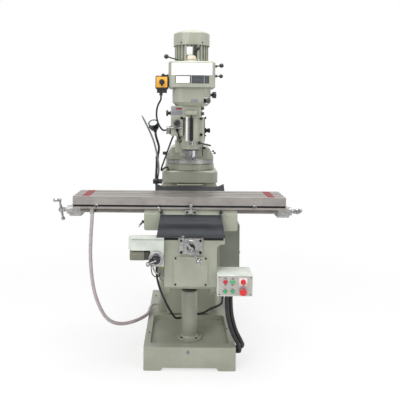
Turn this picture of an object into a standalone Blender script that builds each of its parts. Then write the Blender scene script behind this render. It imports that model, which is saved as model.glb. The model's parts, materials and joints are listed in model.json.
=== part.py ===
"""A turret knee milling machine: base, column, knee, saddle, table, turret, ram and head.

Metres, +Z up, +X to the operator's right, the operator stands at -Y. The origin is on the floor,
at the middle of the base casting, with the column's centre plane at x = 0.
"""

import math

import bmesh
import bpy
from mathutils import Matrix, Vector

# ---------------------------------------------------------------- clearances
SEAT = 0.0003            # left between pieces that are bolted face to face
RUN = 0.0003             # left between pieces that slide or turn in each other
SINK = 0.004             # how far a fused lump reaches into its casting

# ---------------------------------------------------------------- standing frame
BASE_WIDTH = 0.552
BASE_DEPTH = 0.980
BASE_HEIGHT = 0.140
BASE_CORNER = 0.012
BASE_EDGE = 0.006        # broken edge round the casting
TRAY_RIM = 0.056         # in front
TRAY_SIDE = 0.042        # along the tray's sides
TRAY_DEPTH = 0.035
TRAY_DRAW = 0.006        # how much wider the tray is at its rim
NOTCH_WIDTH = 0.317      # chip notch under each end of the base
NOTCH_HEIGHT = 0.018
NOTCH_REACH = 0.090
SCREW_WELL = 0.090       # depth of the well under the tray that the screw runs down into

COLUMN_WIDTH = 0.424
COLUMN_BACK = 0.450
COLUMN_TOP_BACK = 0.410
COLUMN_TOP = 1.135
BLOCK_WIDTH = 0.387
BLOCK_HEIGHT = 0.092
BLOCK_CORNER = 0.030

WAY_WIDTH = 0.300        # vertical dovetail on the column, across its front
WAY_DEPTH = 0.055
DOVETAIL_SLOPE = 0.45    # how far a dovetail draws in for each metre of its depth
WAY_BOTTOM = 0.150
WAY_TOP = 1.030

PEDESTAL_RADIUS = 0.050
PEDESTAL_FLANGE = 0.077
PEDESTAL_FLANGE_HEIGHT = 0.016
PEDESTAL_HEIGHT = 0.310
SCREW_Y = -0.274         # elevating screw, in front of the column's way
ELEVATING_RADIUS = 0.016
SCREW_GRIP = 0.036       # what stays of the screw in the pedestal with the knee right up
SCREW_SEAT_DEPTH = 0.024 # how far the screw goes up into the knee

CABINET_WIDTH = 0.138
CABINET_DEPTH = 0.320
CABINET_BOTTOM = 0.330
CABINET_HEIGHT = 0.428
CABINET_Y = 0.240
CABINET_CORNER = 0.008

# ---------------------------------------------------------------- knee
KNEE_FRONT = -0.560
KNEE_TOP = 0.812
KNEE_BOTTOM = 0.430
KNEE_FRONT_BOTTOM = 0.524
KNEE_NOSE = 0.150        # how far back the front's underside slopes
KNEE_WIDTH = 0.397
KNEE_WAIST = 0.305
KNEE_SHOULDER = 0.037
KNEE_FLARE = 0.028
KNEE_WALL = 0.034
KNEE_ROOM_TOP = 0.700
KNEE_CHEEK = 0.050       # how far the knee's cheeks reach back round the column way
KNEE_UP = 0.080
PANEL_WIDTH = 0.198
PANEL_HEIGHT = 0.170
PANEL_PROUD = 0.006

RAIL_WIDTH = 0.310       # horizontal dovetail on top of the knee
RAIL_HEIGHT = 0.034
RAIL_SETBACK = 0.016     # the rail's front slopes back under the rubber cover
TROUGH_WIDTH = 0.060     # room for the cross-feed screw, along the knee
TROUGH_FLOOR = 0.745

FLANGE_WIDTH = 0.134
FLANGE_HEIGHT = 0.090
FLANGE_THICK = 0.012
CROSS_Z = 0.7634
CROSS_RADIUS = 0.0115
DIAL_RADIUS = 0.043
TABLE_DIAL_RADIUS = 0.026
DIAL_LENGTH = 0.026
CRANK_THROW = 0.082
CRANK_BALL = 0.0125
GRIP_LENGTH = 0.042

PUMP_WIDTH = 0.054
PUMP_HEIGHT = 0.080
PUMP_TOP = 0.640
PUMP_SETBACK = 0.060

LIFT_X = -0.199          # elevation crank's shaft
LIFT_Z = 0.700
LIFT_HOUSING_LEFT = -0.361
LIFT_HOUSING_HEIGHT = 0.070
LIFT_HOUSING_TOP = 0.812
LIFT_HOUSING_DEPTH = 0.084
LIFT_MOTOR_RADIUS = 0.033
LIFT_MOTOR_LENGTH = 0.116
LIFT_ARM = 0.046

CONTROL_WIDTH = 0.199
CONTROL_DEPTH = 0.165
CONTROL_HEIGHT = 0.124
CONTROL_TOP = 0.612
CONTROL_FRONT = -0.615
BUTTON_RADIUS = 0.0105
BUTTON_TRAVEL = 0.005
STOP_RADIUS = 0.0205
STOP_TRAVEL = 0.006
KNOB_SIDE = 0.046

# ---------------------------------------------------------------- saddle and table
SADDLE_WIDTH = 0.556
SADDLE_DEPTH = 0.300
SADDLE_SKIRT = 0.370
SADDLE_WAIST = 0.836     # underside of the saddle's side blocks
SADDLE_SLOPE_HEIGHT = 0.031  # sloping band along the top of the saddle's front
SADDLE_SLOPE_DEPTH = 0.018
STOP_FOOT_WIDTH = 0.070  # bracket in the middle of the band, and its post
STOP_FOOT_DROP = 0.0257  # from the saddle's top to the bracket's underside
STOP_FOOT_HEIGHT = 0.021
STOP_FOOT_PROUD = 0.008
STOP_POST_WIDTH = 0.016
STOP_POST_RISE = 0.035   # above the saddle's top
STOP_POST_THICK = 0.0105
STOP_POST_GAP = 0.006    # between the post and the table's face
COVER_THICK = 0.003      # of the pleated rubber covers
COVER_RISE = 0.006       # how far a pleat stands up
REAR_COVER_WIDTH = 0.470
FRONT_COVER_TOP = 0.930  # where the front cover meets the saddle

TABLE_LENGTH = 1.270
TABLE_DEPTH = 0.254
TABLE_HEIGHT = 0.073
TABLE_TOP = 1.035
TABLE_FRONT = -0.490
TABLE_REST_X = -0.069    # the table stands a little to the left of the column
TAIL_WIDTH = 0.170       # dovetail under the table
TAIL_HEIGHT = 0.030
T_SLOTS = 3
T_PITCH = 0.0635
T_WIDTH = 0.016
T_NECK = 0.016
T_HEAD_WIDTH = 0.026
T_HEAD_HEIGHT = 0.011
STOP_SLOT_HEIGHT = 0.012
STOP_SLOT_DEPTH = 0.010
STOP_SLOT_DROP = 0.055   # from the table's top to the slot's middle
FEED_RADIUS = 0.0125
FEED_DROP = 0.030        # from the table's underside to the feed screw's axis
BRACKET_OUT = 0.034
BRACKET_UNDER = 0.036
BRACKET_HEIGHT = 0.060
BRACKET_DEPTH = 0.120

LOCK_ARM = 0.042
LOCK_DROP = 0.0157       # from the saddle's top
LEFT_LOCK_X = -0.176
RIGHT_LOCK_X = 0.178
LOCK_BOSS_RADIUS = 0.011

# ---------------------------------------------------------------- turret, ram and head
TURRET_Y = 0.190
TURRET_FLANGE = 0.176
TURRET_FLANGE_HEIGHT = 0.044
TURRET_RING = 0.171
TURRET_RING_HEIGHT = 0.040
TURRET_WIDTH = 0.330
TURRET_DEPTH = 0.350
TURRET_RISE = 0.0807     # from the ring up to the slide's top
TURRET_SHOULDER = 0.055

RAM_WIDTH = 0.176
RAM_HEIGHT = 0.140
RAM_FRONT = -0.105
RAM_BACK = 0.620
RAM_TAIL_WIDTH = 0.150
RAM_TAIL_HEIGHT = 0.052

NOD_Y = -0.150
TILT_RISE = 0.085        # from the slide's top up to the head's tilt axis
NOD_EYE = 0.035
FORK_GAP = 0.090
TILT_FACE_Y = -0.214     # where the head bolts to the adapter
TILT_RADIUS = 0.094

SPINDLE_Y = -0.340
QUILL_RADIUS = 0.040
QUILL_DROP = 0.123       # from the tilt axis down to the quill's end
QUILL_LENGTH = 0.250
QUILL_TRAVEL = 0.127
QUILL_BORE = 0.0215
NOSE_RADIUS = 0.034
NOSE_LENGTH = 0.016
TAPER_RADIUS = 0.0158
TAPER_DEPTH = 0.060
SPINDLE_RADIUS = 0.0205

HEAD_DROP = 0.050        # from the tilt axis down to the barrel's foot
HEAD_RISE = 0.127
HEAD_RIGHT = 0.082
HEAD_WALL = 0.022
COLLAR_RADIUS = 0.057
COLLAR_HEIGHT = 0.023
FEED_LEFT = -0.126
FEED_RIGHT = -0.050
FEED_FRONT = -0.405
FEED_HEIGHT = 0.184
NECK_HEIGHT = 0.068
SELECTOR_DROP = 0.045    # from the neck's top down to the feed box's knobs
FINE_FEED_DROP = 0.104
SLOT_WIDTH = 0.011
SLOT_LIFT = 0.031        # from the barrel's foot
STOP_BLOCK = 0.024
LOCK_BOSS_X = 0.049
LOCK_BOSS_LIFT = 0.019
LOCK_BOSS_OUT = 0.052

GEAR_WIDTH = 0.236
GEAR_FRONT = -0.440
GEAR_BACK = -0.190
GEAR_HEIGHT = 0.1097
GEAR_KNOB_DROP = 0.040
GEAR_CHAMFER = 0.022

BELT_WIDTH = 0.285
BELT_FRONT = -0.470
BELT_BACK = -0.080
BELT_HEIGHT = 0.1597
BELT_BOW = 0.022         # how far the front face bulges
MOTOR_Y = -0.245
MOTOR_RADIUS = 0.108
MOTOR_FINS = 26
FIN_HEIGHT = 0.010
FIN_SHARE = 0.36         # of a fin's pitch that its tip takes
MOTOR_HEIGHT = 0.1347
CAP_RADIUS = 0.116
CAP_WALL = 0.003
CAP_SKIRT = 0.022        # how far the fan cover reaches down past the body's top
CAP_HEIGHT = 0.077
CAP_DOME = 0.018

SWITCH_WIDTH = 0.077
SWITCH_DEPTH = 0.066
SWITCH_HEIGHT = 0.080
SWITCH_RISE = 0.0697     # from the belt housing's foot to the switch's top
SWITCH_FRONT = -0.445

PINION_RISE = 0.043      # from the tilt axis
SPRING_RADIUS = 0.024
SPRING_LENGTH = 0.028

LEVER_ROD = 0.0042
LEVER_BALL = 0.0125
LEVER_HUB = 0.0085
UPPER_LEVER_DROP = 0.024 # from the belt housing's top
LOWER_LEVER_DROP = 0.086

# ---------------------------------------------------------------- lamp, hoses and cables
LAMP_STEM_RADIUS = 0.0080
LAMP_REACH = 0.341       # from the clamp up to the lamp's joint
LAMP_CLAMP_DROP = 0.080  # from the column's top down to the lamp's clamp
LAMP_MOUTH = 0.035
LAMP_THROAT = 0.012
LAMP_LENGTH = 0.078
NOZZLE_RADIUS = 0.0058
DRAIN_RADIUS = 0.011
PANEL_HOSE_RADIUS = 0.0125
LIFT_CABLE_RADIUS = 0.0065
HEAD_CABLE_RADIUS = 0.0055

# ---------------------------------------------------------------- worked out from the sizes above
HALF_BASE = BASE_WIDTH / 2
TRAY_Z = BASE_HEIGHT - TRAY_DEPTH
WAY_ROOT_Y = WAY_DEPTH
PEDESTAL_TOP = TRAY_Z + PEDESTAL_HEIGHT
TABLE_Y = TABLE_FRONT + TABLE_DEPTH / 2
TABLE_BOTTOM = TABLE_TOP - TABLE_HEIGHT
SADDLE_TOP = TABLE_BOTTOM - RUN
FEED_Z = TABLE_BOTTOM - FEED_DROP
TABLE_LEFT = TABLE_REST_X - TABLE_LENGTH / 2
TABLE_RIGHT = TABLE_REST_X + TABLE_LENGTH / 2
LOCK_Z = SADDLE_TOP - LOCK_DROP
LIFT_NECK_Z = LIFT_Z - DIAL_RADIUS - 0.006
TURRET_BASE = COLUMN_TOP + SEAT
RING_BASE = TURRET_BASE + TURRET_FLANGE_HEIGHT
RING_TOP = RING_BASE + TURRET_RING_HEIGHT
TURRET_TOP = RING_TOP + TURRET_RISE
RAM_TOP = TURRET_TOP + RAM_HEIGHT
TILT_Z = TURRET_TOP + TILT_RISE
HEAD_BOTTOM = TILT_Z - HEAD_DROP
HEAD_TOP = TILT_Z + HEAD_RISE
COLLAR_BOTTOM = HEAD_BOTTOM - COLLAR_HEIGHT
QUILL_BOTTOM = TILT_Z - QUILL_DROP
QUILL_TOP = QUILL_BOTTOM + QUILL_LENGTH
NOSE_Z = QUILL_BOTTOM - NOSE_LENGTH
SLOT_BOTTOM = HEAD_BOTTOM + SLOT_LIFT
LOCK_BOSS_Z = HEAD_BOTTOM + LOCK_BOSS_LIFT
PINION_Z = TILT_Z + PINION_RISE
NECK_TOP = HEAD_TOP + NECK_HEIGHT
FEED_BOTTOM = NECK_TOP - FEED_HEIGHT
GEAR_BASE = NECK_TOP + SEAT
GEAR_TOP = GEAR_BASE + GEAR_HEIGHT
BELT_BASE = GEAR_TOP + SEAT
BELT_TOP = BELT_BASE + BELT_HEIGHT
SWITCH_TOP = BELT_BASE + SWITCH_RISE
MOTOR_BASE = BELT_TOP + SEAT
MOTOR_BODY_TOP = MOTOR_BASE + MOTOR_HEIGHT
CAP_TOP = MOTOR_BODY_TOP + CAP_HEIGHT
RAIL_TOP = KNEE_TOP + RAIL_HEIGHT


# ================================================================ materials
PAINT = "enamel_grey_green"
MATERIALS = {
    # name: (red, green, blue, roughness, metallic)
    PAINT: (0.39, 0.41, 0.35, 0.42, 0.0),
    "dark_paint": (0.10, 0.105, 0.085, 0.5, 0.0),
    "ground_iron": (0.36, 0.35, 0.33, 0.35, 1.0),
    "bright_steel": (0.58, 0.58, 0.57, 0.25, 1.0),
    "black_steel": (0.022, 0.022, 0.025, 0.4, 1.0),
    "black_plastic": (0.012, 0.012, 0.013, 0.35, 0.0),
    "black_rubber": (0.035, 0.038, 0.042, 0.6, 0.0),
    "cabinet_paint": (0.50, 0.51, 0.47, 0.45, 0.0),
    "lamp_black": (0.015, 0.015, 0.016, 0.4, 0.0),
    "red_plastic": (0.60, 0.025, 0.02, 0.35, 0.0),
    "green_plastic": (0.03, 0.33, 0.08, 0.35, 0.0),
    "hose_grey": (0.45, 0.42, 0.41, 0.5, 0.0),
    "hose_black": (0.02, 0.02, 0.022, 0.5, 0.0),
}


def material(name):
    """The named material, made on its first use."""
    found = bpy.data.materials.get(name)
    if found:
        return found
    red, green, blue, roughness, metallic = MATERIALS[name]
    made = bpy.data.materials.new(name)
    made.use_nodes = True
    shader = made.node_tree.nodes["Principled BSDF"]
    shader.inputs["Base Color"].default_value = (red, green, blue, 1.0)
    shader.inputs["Roughness"].default_value = roughness
    shader.inputs["Metallic"].default_value = metallic
    made.diffuse_color = (red, green, blue, 1.0)
    return made


# ================================================================ shapes
AXES = {"X": Vector((1, 0, 0)), "Y": Vector((0, 1, 0)), "Z": Vector((0, 0, 1))}
SHARP = math.radians(34)


def arc(centre, radius, start, end, steps):
    """Points of an arc in a plane, from one angle in degrees to another."""
    angles = [math.radians(start + (end - start) * i / steps) for i in range(steps + 1)]
    return [(centre[0] + radius * math.cos(a), centre[1] + radius * math.sin(a)) for a in angles]


def rounded(low_u, high_u, low_v, high_v, radius, steps=3):
    """A rectangle with round corners, as an outline."""
    points = []
    for u, v, start in (
        (high_u - radius, high_v - radius, 0),
        (low_u + radius, high_v - radius, 90),
        (low_u + radius, low_v + radius, 180),
        (high_u - radius, low_v + radius, 270),
    ):
        points += arc((u, v), radius, start, start + 90, steps)
    return points


def mirrored(half):
    """An outline symmetric in its first coordinate, from its right half given top to bottom."""
    return half + [(-u, v) for u, v in reversed(half)]


def in_space(axis, u, v, along):
    """A point of an outline: X takes (y, z), Y takes (x, z) and Z takes (x, y)."""
    return {"X": (along, u, v), "Y": (u, along, v), "Z": (u, v, along)}[axis]


def loft(rings, axis="Z", shape=None):
    """A closed solid through outlines of equal point counts: rings are (outline, place)."""
    shape = shape or bmesh.new()
    loops = [
        [shape.verts.new(in_space(axis, u, v, along)) for u, v in outline]
        for outline, along in rings
    ]
    for lower, upper in zip(loops, loops[1:]):
        for i in range(len(lower)):
            j = (i + 1) % len(lower)
            shape.faces.new((lower[i], lower[j], upper[j], upper[i]))
    made = [shape.faces.new(list(reversed(loops[0]))), shape.faces.new(loops[-1])]
    bmesh.ops.recalc_face_normals(shape, faces=shape.faces)
    bmesh.ops.triangulate(shape, faces=made)
    return shape


def prism(outline, axis, low, high, shape=None):
    """An outline drawn out along an axis."""
    return loft([(outline, low), (outline, high)], axis, shape)


def block(low, high, radius=0.0, axis="Z", steps=3):
    """A box between two corners, with the edges along one axis rounded."""
    order = {"X": (1, 2, 0), "Y": (0, 2, 1), "Z": (0, 1, 2)}[axis]
    u, v, along = order
    if radius:
        outline = rounded(low[u], high[u], low[v], high[v], radius, steps)
    else:
        outline = [(low[u], low[v]), (high[u], low[v]), (high[u], high[v]), (low[u], high[v])]
    return prism(outline, axis, low[along], high[along])


def turned(profile, centre, direction, steps):
    """A profile of (radius, distance) points spun round a line. It starts and ends on the line,
    or it is a closed ring when no point lies on it."""
    shape = bmesh.new()
    open_ended = profile[0][0] == 0
    verts = [shape.verts.new((radius, 0, along)) for radius, along in profile]
    edges = [shape.edges.new(pair) for pair in zip(verts, verts[1:])]
    if not open_ended:
        edges.append(shape.edges.new((verts[-1], verts[0])))
    bmesh.ops.spin(
        shape, geom=verts + edges, cent=(0, 0, 0), axis=(0, 0, 1), angle=math.tau, steps=steps
    )
    bmesh.ops.remove_doubles(shape, verts=shape.verts, dist=1e-6)
    turn = Vector((0, 0, 1)).rotation_difference(Vector(direction).normalized())
    bmesh.ops.transform(
        shape, matrix=Matrix.Translation(centre) @ turn.to_matrix().to_4x4(), verts=shape.verts
    )
    bmesh.ops.recalc_face_normals(shape, faces=shape.faces)
    return shape


def rod(start, end, radius, steps=16):
    """A plain round bar between two points."""
    line = Vector(end) - Vector(start)
    profile = [(0, 0), (radius, 0), (radius, line.length), (0, line.length)]
    return turned(profile, start, line, steps)


def ball_profile(radius, centre, start, end, steps):
    """Profile points of a ball on the turning line, between two angles from its near pole."""
    return [
        (radius * math.sin(a), centre - radius * math.cos(a))
        for a in (math.radians(start + (end - start) * i / steps) for i in range(steps + 1))
    ]


def smooth_route(points, step):
    """Evenly spaced points on a smooth curve through a cord's chosen points, straight at its ends."""
    knots = [Vector(p) for p in points]
    padded = [2 * knots[0] - knots[1]] + knots + [2 * knots[-1] - knots[-2]]
    fine = []
    for before, start, end, after in zip(padded, padded[1:], padded[2:], padded[3:]):
        for i in range(24):
            t = i / 24
            fine.append(
                0.5
                * (
                    2 * start
                    + (end - before) * t
                    + (2 * before - 5 * start + 4 * end - after) * t * t
                    + (3 * start - before - 3 * end + after) * t**3
                )
            )
    fine.append(knots[-1])
    total = sum((b - a).length for a, b in zip(fine, fine[1:]))
    count = max(2, round(total / step))
    route, gone, wanted = [fine[0]], 0.0, total / count
    for a, b in zip(fine, fine[1:]):
        length = (b - a).length
        while gone + length >= wanted and len(route) < count:
            route.append(a.lerp(b, (wanted - gone) / length))
            wanted += total / count
        gone += length
    route.append(fine[-1])
    lead = total / count
    route[1] = knots[0] + (knots[1] - knots[0]).normalized() * lead
    route[-2] = knots[-1] + (knots[-2] - knots[-1]).normalized() * lead
    return route


# ================================================================ scene objects
def add(name, shape, finish, at=(0, 0, 0), parent=None):
    """A named object with its origin at a point, from a shape given in world places."""
    bmesh.ops.translate(shape, vec=-Vector(at), verts=shape.verts)
    for face in shape.faces:
        face.smooth = True
    for edge in shape.edges:
        if len(edge.link_faces) == 2 and edge.calc_face_angle(0) > SHARP:
            edge.smooth = False
    mesh = bpy.data.meshes.new(name)
    shape.to_mesh(mesh)
    shape.free()
    piece = bpy.data.objects.new(name, mesh)
    bpy.context.collection.objects.link(piece)
    piece.location = at
    if finish:
        mesh.materials.append(material(finish))
    if parent:
        attach(piece, parent)
    return piece


def attach(piece, parent):
    """Parent a piece and leave it where it stands."""
    bpy.context.view_layer.update()
    piece.parent = parent
    piece.matrix_parent_inverse = parent.matrix_world.inverted()


def combine(piece, shape, operation):
    """Join a shape to a piece, or cut it out, with a Boolean that stays on the piece."""
    tool = add(f"{piece.name}_{operation.lower()}_{len(piece.modifiers)}", shape, None)
    tool.hide_render = True
    tool.display_type = "WIRE"
    change = piece.modifiers.new(operation.title(), "BOOLEAN")
    change.operation = operation
    change.solver = "EXACT"
    change.object = tool
    attach(tool, piece)


def join(piece, *shapes):
    """Fuse shapes to a piece."""
    for shape in shapes:
        combine(piece, shape, "UNION")


def cut(piece, *shapes):
    """Cut shapes out of a piece."""
    for shape in shapes:
        combine(piece, shape, "DIFFERENCE")


def bevel(piece, width, segments=1, angle=50):
    """Break a piece's sharp edges."""
    edge = piece.modifiers.new("Broken edges", "BEVEL")
    edge.width = width
    edge.segments = segments
    edge.limit_method = "ANGLE"
    edge.angle_limit = math.radians(angle)


def tube(name, route, radius, finish, parent=None, sides=2, radii=None):
    """A cord, hose or bent bar as a bevelled curve with filled caps."""
    line = bpy.data.curves.new(name, "CURVE")
    line.dimensions = "3D"
    line.bevel_depth = radius
    line.bevel_resolution = sides
    line.use_fill_caps = True
    spline = line.splines.new("POLY")
    spline.points.add(len(route) - 1)
    for point, place in zip(spline.points, route):
        point.co = (*place, 1.0)
    if radii:
        for point, share in zip(spline.points, radii):
            point.radius = share
    line.materials.append(material(finish))
    piece = bpy.data.objects.new(name, line)
    bpy.context.collection.objects.link(piece)
    if parent:
        attach(piece, parent)
    return piece


def clear_scene():
    """Start from an empty scene."""
    for piece in list(bpy.data.objects):
        bpy.data.objects.remove(piece, do_unlink=True)


# ================================================================ standing frame
def make_base():
    """The base casting: a slab with a coolant tray on top and a chip notch under each end."""
    half_depth = BASE_DEPTH / 2
    outline = rounded(-HALF_BASE, HALF_BASE, -half_depth, half_depth, BASE_CORNER, 4)
    base = add("base_casting", prism(outline, "Z", 0, BASE_HEIGHT), PAINT)
    bevel(base, BASE_EDGE)
    inner_x = HALF_BASE - TRAY_SIDE
    inner_y = half_depth - TRAY_RIM
    back = -3 * SEAT
    corner = TRAY_RIM / 2
    low = rounded(-inner_x, inner_x, -inner_y, back, corner, 3)
    wide_x = inner_x + TRAY_DRAW
    wide_y = inner_y + TRAY_DRAW
    high = rounded(-wide_x, wide_x, -wide_y, back, corner, 3)
    cut(base, loft([(low, TRAY_Z), (high, BASE_HEIGHT + SINK)]))
    foot = NOTCH_WIDTH / 2 + NOTCH_HEIGHT
    roof = NOTCH_WIDTH / 2
    notch = [(-foot, -SINK), (foot, -SINK), (roof, NOTCH_HEIGHT), (-roof, NOTCH_HEIGHT)]
    for side in (-1, 1):
        inner = side * (half_depth - NOTCH_REACH)
        outer = side * (half_depth + SINK)
        cut(base, prism(notch, "Y", min(inner, outer), max(inner, outer)))
    well = ELEVATING_RADIUS + 10 * RUN
    cut(base, rod((0, SCREW_Y, TRAY_Z - SCREW_WELL), (0, SCREW_Y, TRAY_Z + SINK), well, 16))
    return base


def make_pedestal(base):
    """The hollow screw pedestal that stands in the tray and takes the elevating screw."""
    bore = ELEVATING_RADIUS + RUN
    foot = TRAY_Z + SEAT
    flange_top = foot + PEDESTAL_FLANGE_HEIGHT
    profile = [
        (bore, foot), (PEDESTAL_FLANGE, foot), (PEDESTAL_FLANGE, flange_top - 0.004),
        (PEDESTAL_FLANGE - 0.004, flange_top), (PEDESTAL_RADIUS + 0.008, flange_top),
        (PEDESTAL_RADIUS, flange_top + 0.010), (PEDESTAL_RADIUS, PEDESTAL_TOP - 0.006),
        (PEDESTAL_RADIUS - 0.006, PEDESTAL_TOP), (bore, PEDESTAL_TOP),
    ]
    shape = turned(profile, (0, SCREW_Y, 0), (0, 0, 1), 24)
    return add("screw_pedestal", shape, PAINT, (0, SCREW_Y, 0), base)


def make_column(base):
    """The column: a closed casting with a vertical dovetail way in front and a block on top."""
    half = COLUMN_WIDTH / 2
    foot = BASE_HEIGHT + SEAT
    block_bottom = COLUMN_TOP - BLOCK_HEIGHT
    block_half = BLOCK_WIDTH / 2
    edge = BLOCK_CORNER / 3

    def section(side, front, back, corner):
        return rounded(-side, side, front, back, corner, 3)

    rings = [
        (section(half, WAY_ROOT_Y, COLUMN_BACK, BLOCK_CORNER), foot),
        (section(half, WAY_ROOT_Y, COLUMN_TOP_BACK, BLOCK_CORNER), block_bottom - 0.060),
        (section(block_half - edge, WAY_ROOT_Y - 0.012, COLUMN_TOP_BACK, BLOCK_CORNER), block_bottom),
        (section(block_half, WAY_ROOT_Y - 0.040, COLUMN_TOP_BACK, BLOCK_CORNER), block_bottom + edge),
        (section(block_half, WAY_ROOT_Y - 0.040, COLUMN_TOP_BACK, BLOCK_CORNER), COLUMN_TOP - edge),
        (section(block_half - edge, WAY_ROOT_Y - 0.030, COLUMN_TOP_BACK - edge, BLOCK_CORNER - edge),
         COLUMN_TOP),
    ]
    column = add("column_casting", loft(rings), PAINT, (0, 0, 0), base)
    way = mirrored([(WAY_WIDTH / 2, 0.0), (WAY_WIDTH / 2 - WAY_DEPTH * DOVETAIL_SLOPE, WAY_DEPTH),
                    (WAY_WIDTH / 2 - WAY_DEPTH * DOVETAIL_SLOPE, WAY_DEPTH + SINK)])
    join(column, prism(way, "Z", WAY_BOTTOM, WAY_TOP))
    return column


def make_cabinet(column):
    """The electrical cabinet on the column's right side."""
    left = COLUMN_WIDTH / 2 + SEAT
    low = (left, CABINET_Y - CABINET_DEPTH / 2, CABINET_BOTTOM)
    high = (left + CABINET_WIDTH, CABINET_Y + CABINET_DEPTH / 2, CABINET_BOTTOM + CABINET_HEIGHT)
    cabinet = add("electrical_cabinet", block(low, high, CABINET_CORNER, "Y", 2), "cabinet_paint")
    door_edge = 0.012
    lip = [(low[1] + door_edge, low[2] + door_edge), (high[1] - door_edge, high[2] - door_edge)]
    door = block((high[0] - SINK, *lip[0]), (high[0] + 0.008, *lip[1]), 0.006, "X", 2)
    join(cabinet, door)
    attach(cabinet, column)
    return cabinet


def make_lamp(column):
    """The work lamp: a bent stem from a clamp on the column, and a cone that nods on its end."""
    side = BLOCK_WIDTH / 2 + SEAT
    clamp_z = COLUMN_TOP - LAMP_CLAMP_DROP
    bends = ((0.0, 0.060, 0.0), (0.028, 0.060, 0.0), (0.043, 0.058, 0.0587), (0.0402, 0.055, 0.2786),
             (0.0382, 0.050, 0.4692), (0.0272, 0.044, 0.5924), (0.0242, 0.038, 0.7155),
             (0.0332, 0.032, 0.8182), (0.0452, 0.026, 0.9355), (0.0477, 0.022, 1.0))
    route = smooth_route([(-side - out, y, clamp_z + LAMP_REACH * up) for out, y, up in bends], 0.020)
    thick = [2.1 if point.x > -side - 0.030 and point.z < clamp_z + 0.004 else 1.0 for point in route]
    stem = tube("lamp_stem", route, LAMP_STEM_RADIUS, "lamp_black", column, 2, thick)
    pivot = route[-1] + (route[-1] - route[-2]).normalized() * (LAMP_THROAT + SEAT)
    way_up = Vector((-0.16, -0.62, 0.76)).normalized()
    wall = 0.003
    profile = (
        ball_profile(LAMP_THROAT, 0, 0, 110, 4)
        + [(LAMP_MOUTH * 0.85, LAMP_LENGTH * 0.42), (LAMP_MOUTH, LAMP_LENGTH * 0.60),
           (LAMP_MOUTH, LAMP_LENGTH), (LAMP_MOUTH - wall, LAMP_LENGTH),
           (LAMP_MOUTH - wall, LAMP_LENGTH - wall), (0, LAMP_LENGTH - wall)]
    )
    add("lamp_head", turned(profile, pivot, way_up, 20), "lamp_black", pivot, stem)


def make_nozzle(column):
    """The jointed coolant hose beside the lamp."""
    side = COLUMN_WIDTH / 2 + SEAT
    bends = ((0.0, 0.110, -0.170), (0.020, 0.110, -0.170), (0.026, 0.100, -0.125), (0.0077, 0.058, -0.015),
             (0.0077, 0.035, 0.040), (0.0137, 0.020, 0.087), (0.0217, 0.018, 0.129),
             (0.0397, 0.020, 0.199), (0.0622, 0.020, 0.255), (0.0867, 0.018, 0.3075),
             (0.1247, 0.012, 0.383))
    route = smooth_route([(-side - out, y, COLUMN_TOP + up) for out, y, up in bends], 0.024)
    thick = [2.0 if i < 2 else 1.0 for i in range(len(route))]
    thick[-1] = 0.55
    tube("coolant_hose", route, NOZZLE_RADIUS, "bright_steel", column, 2, thick)


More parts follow.
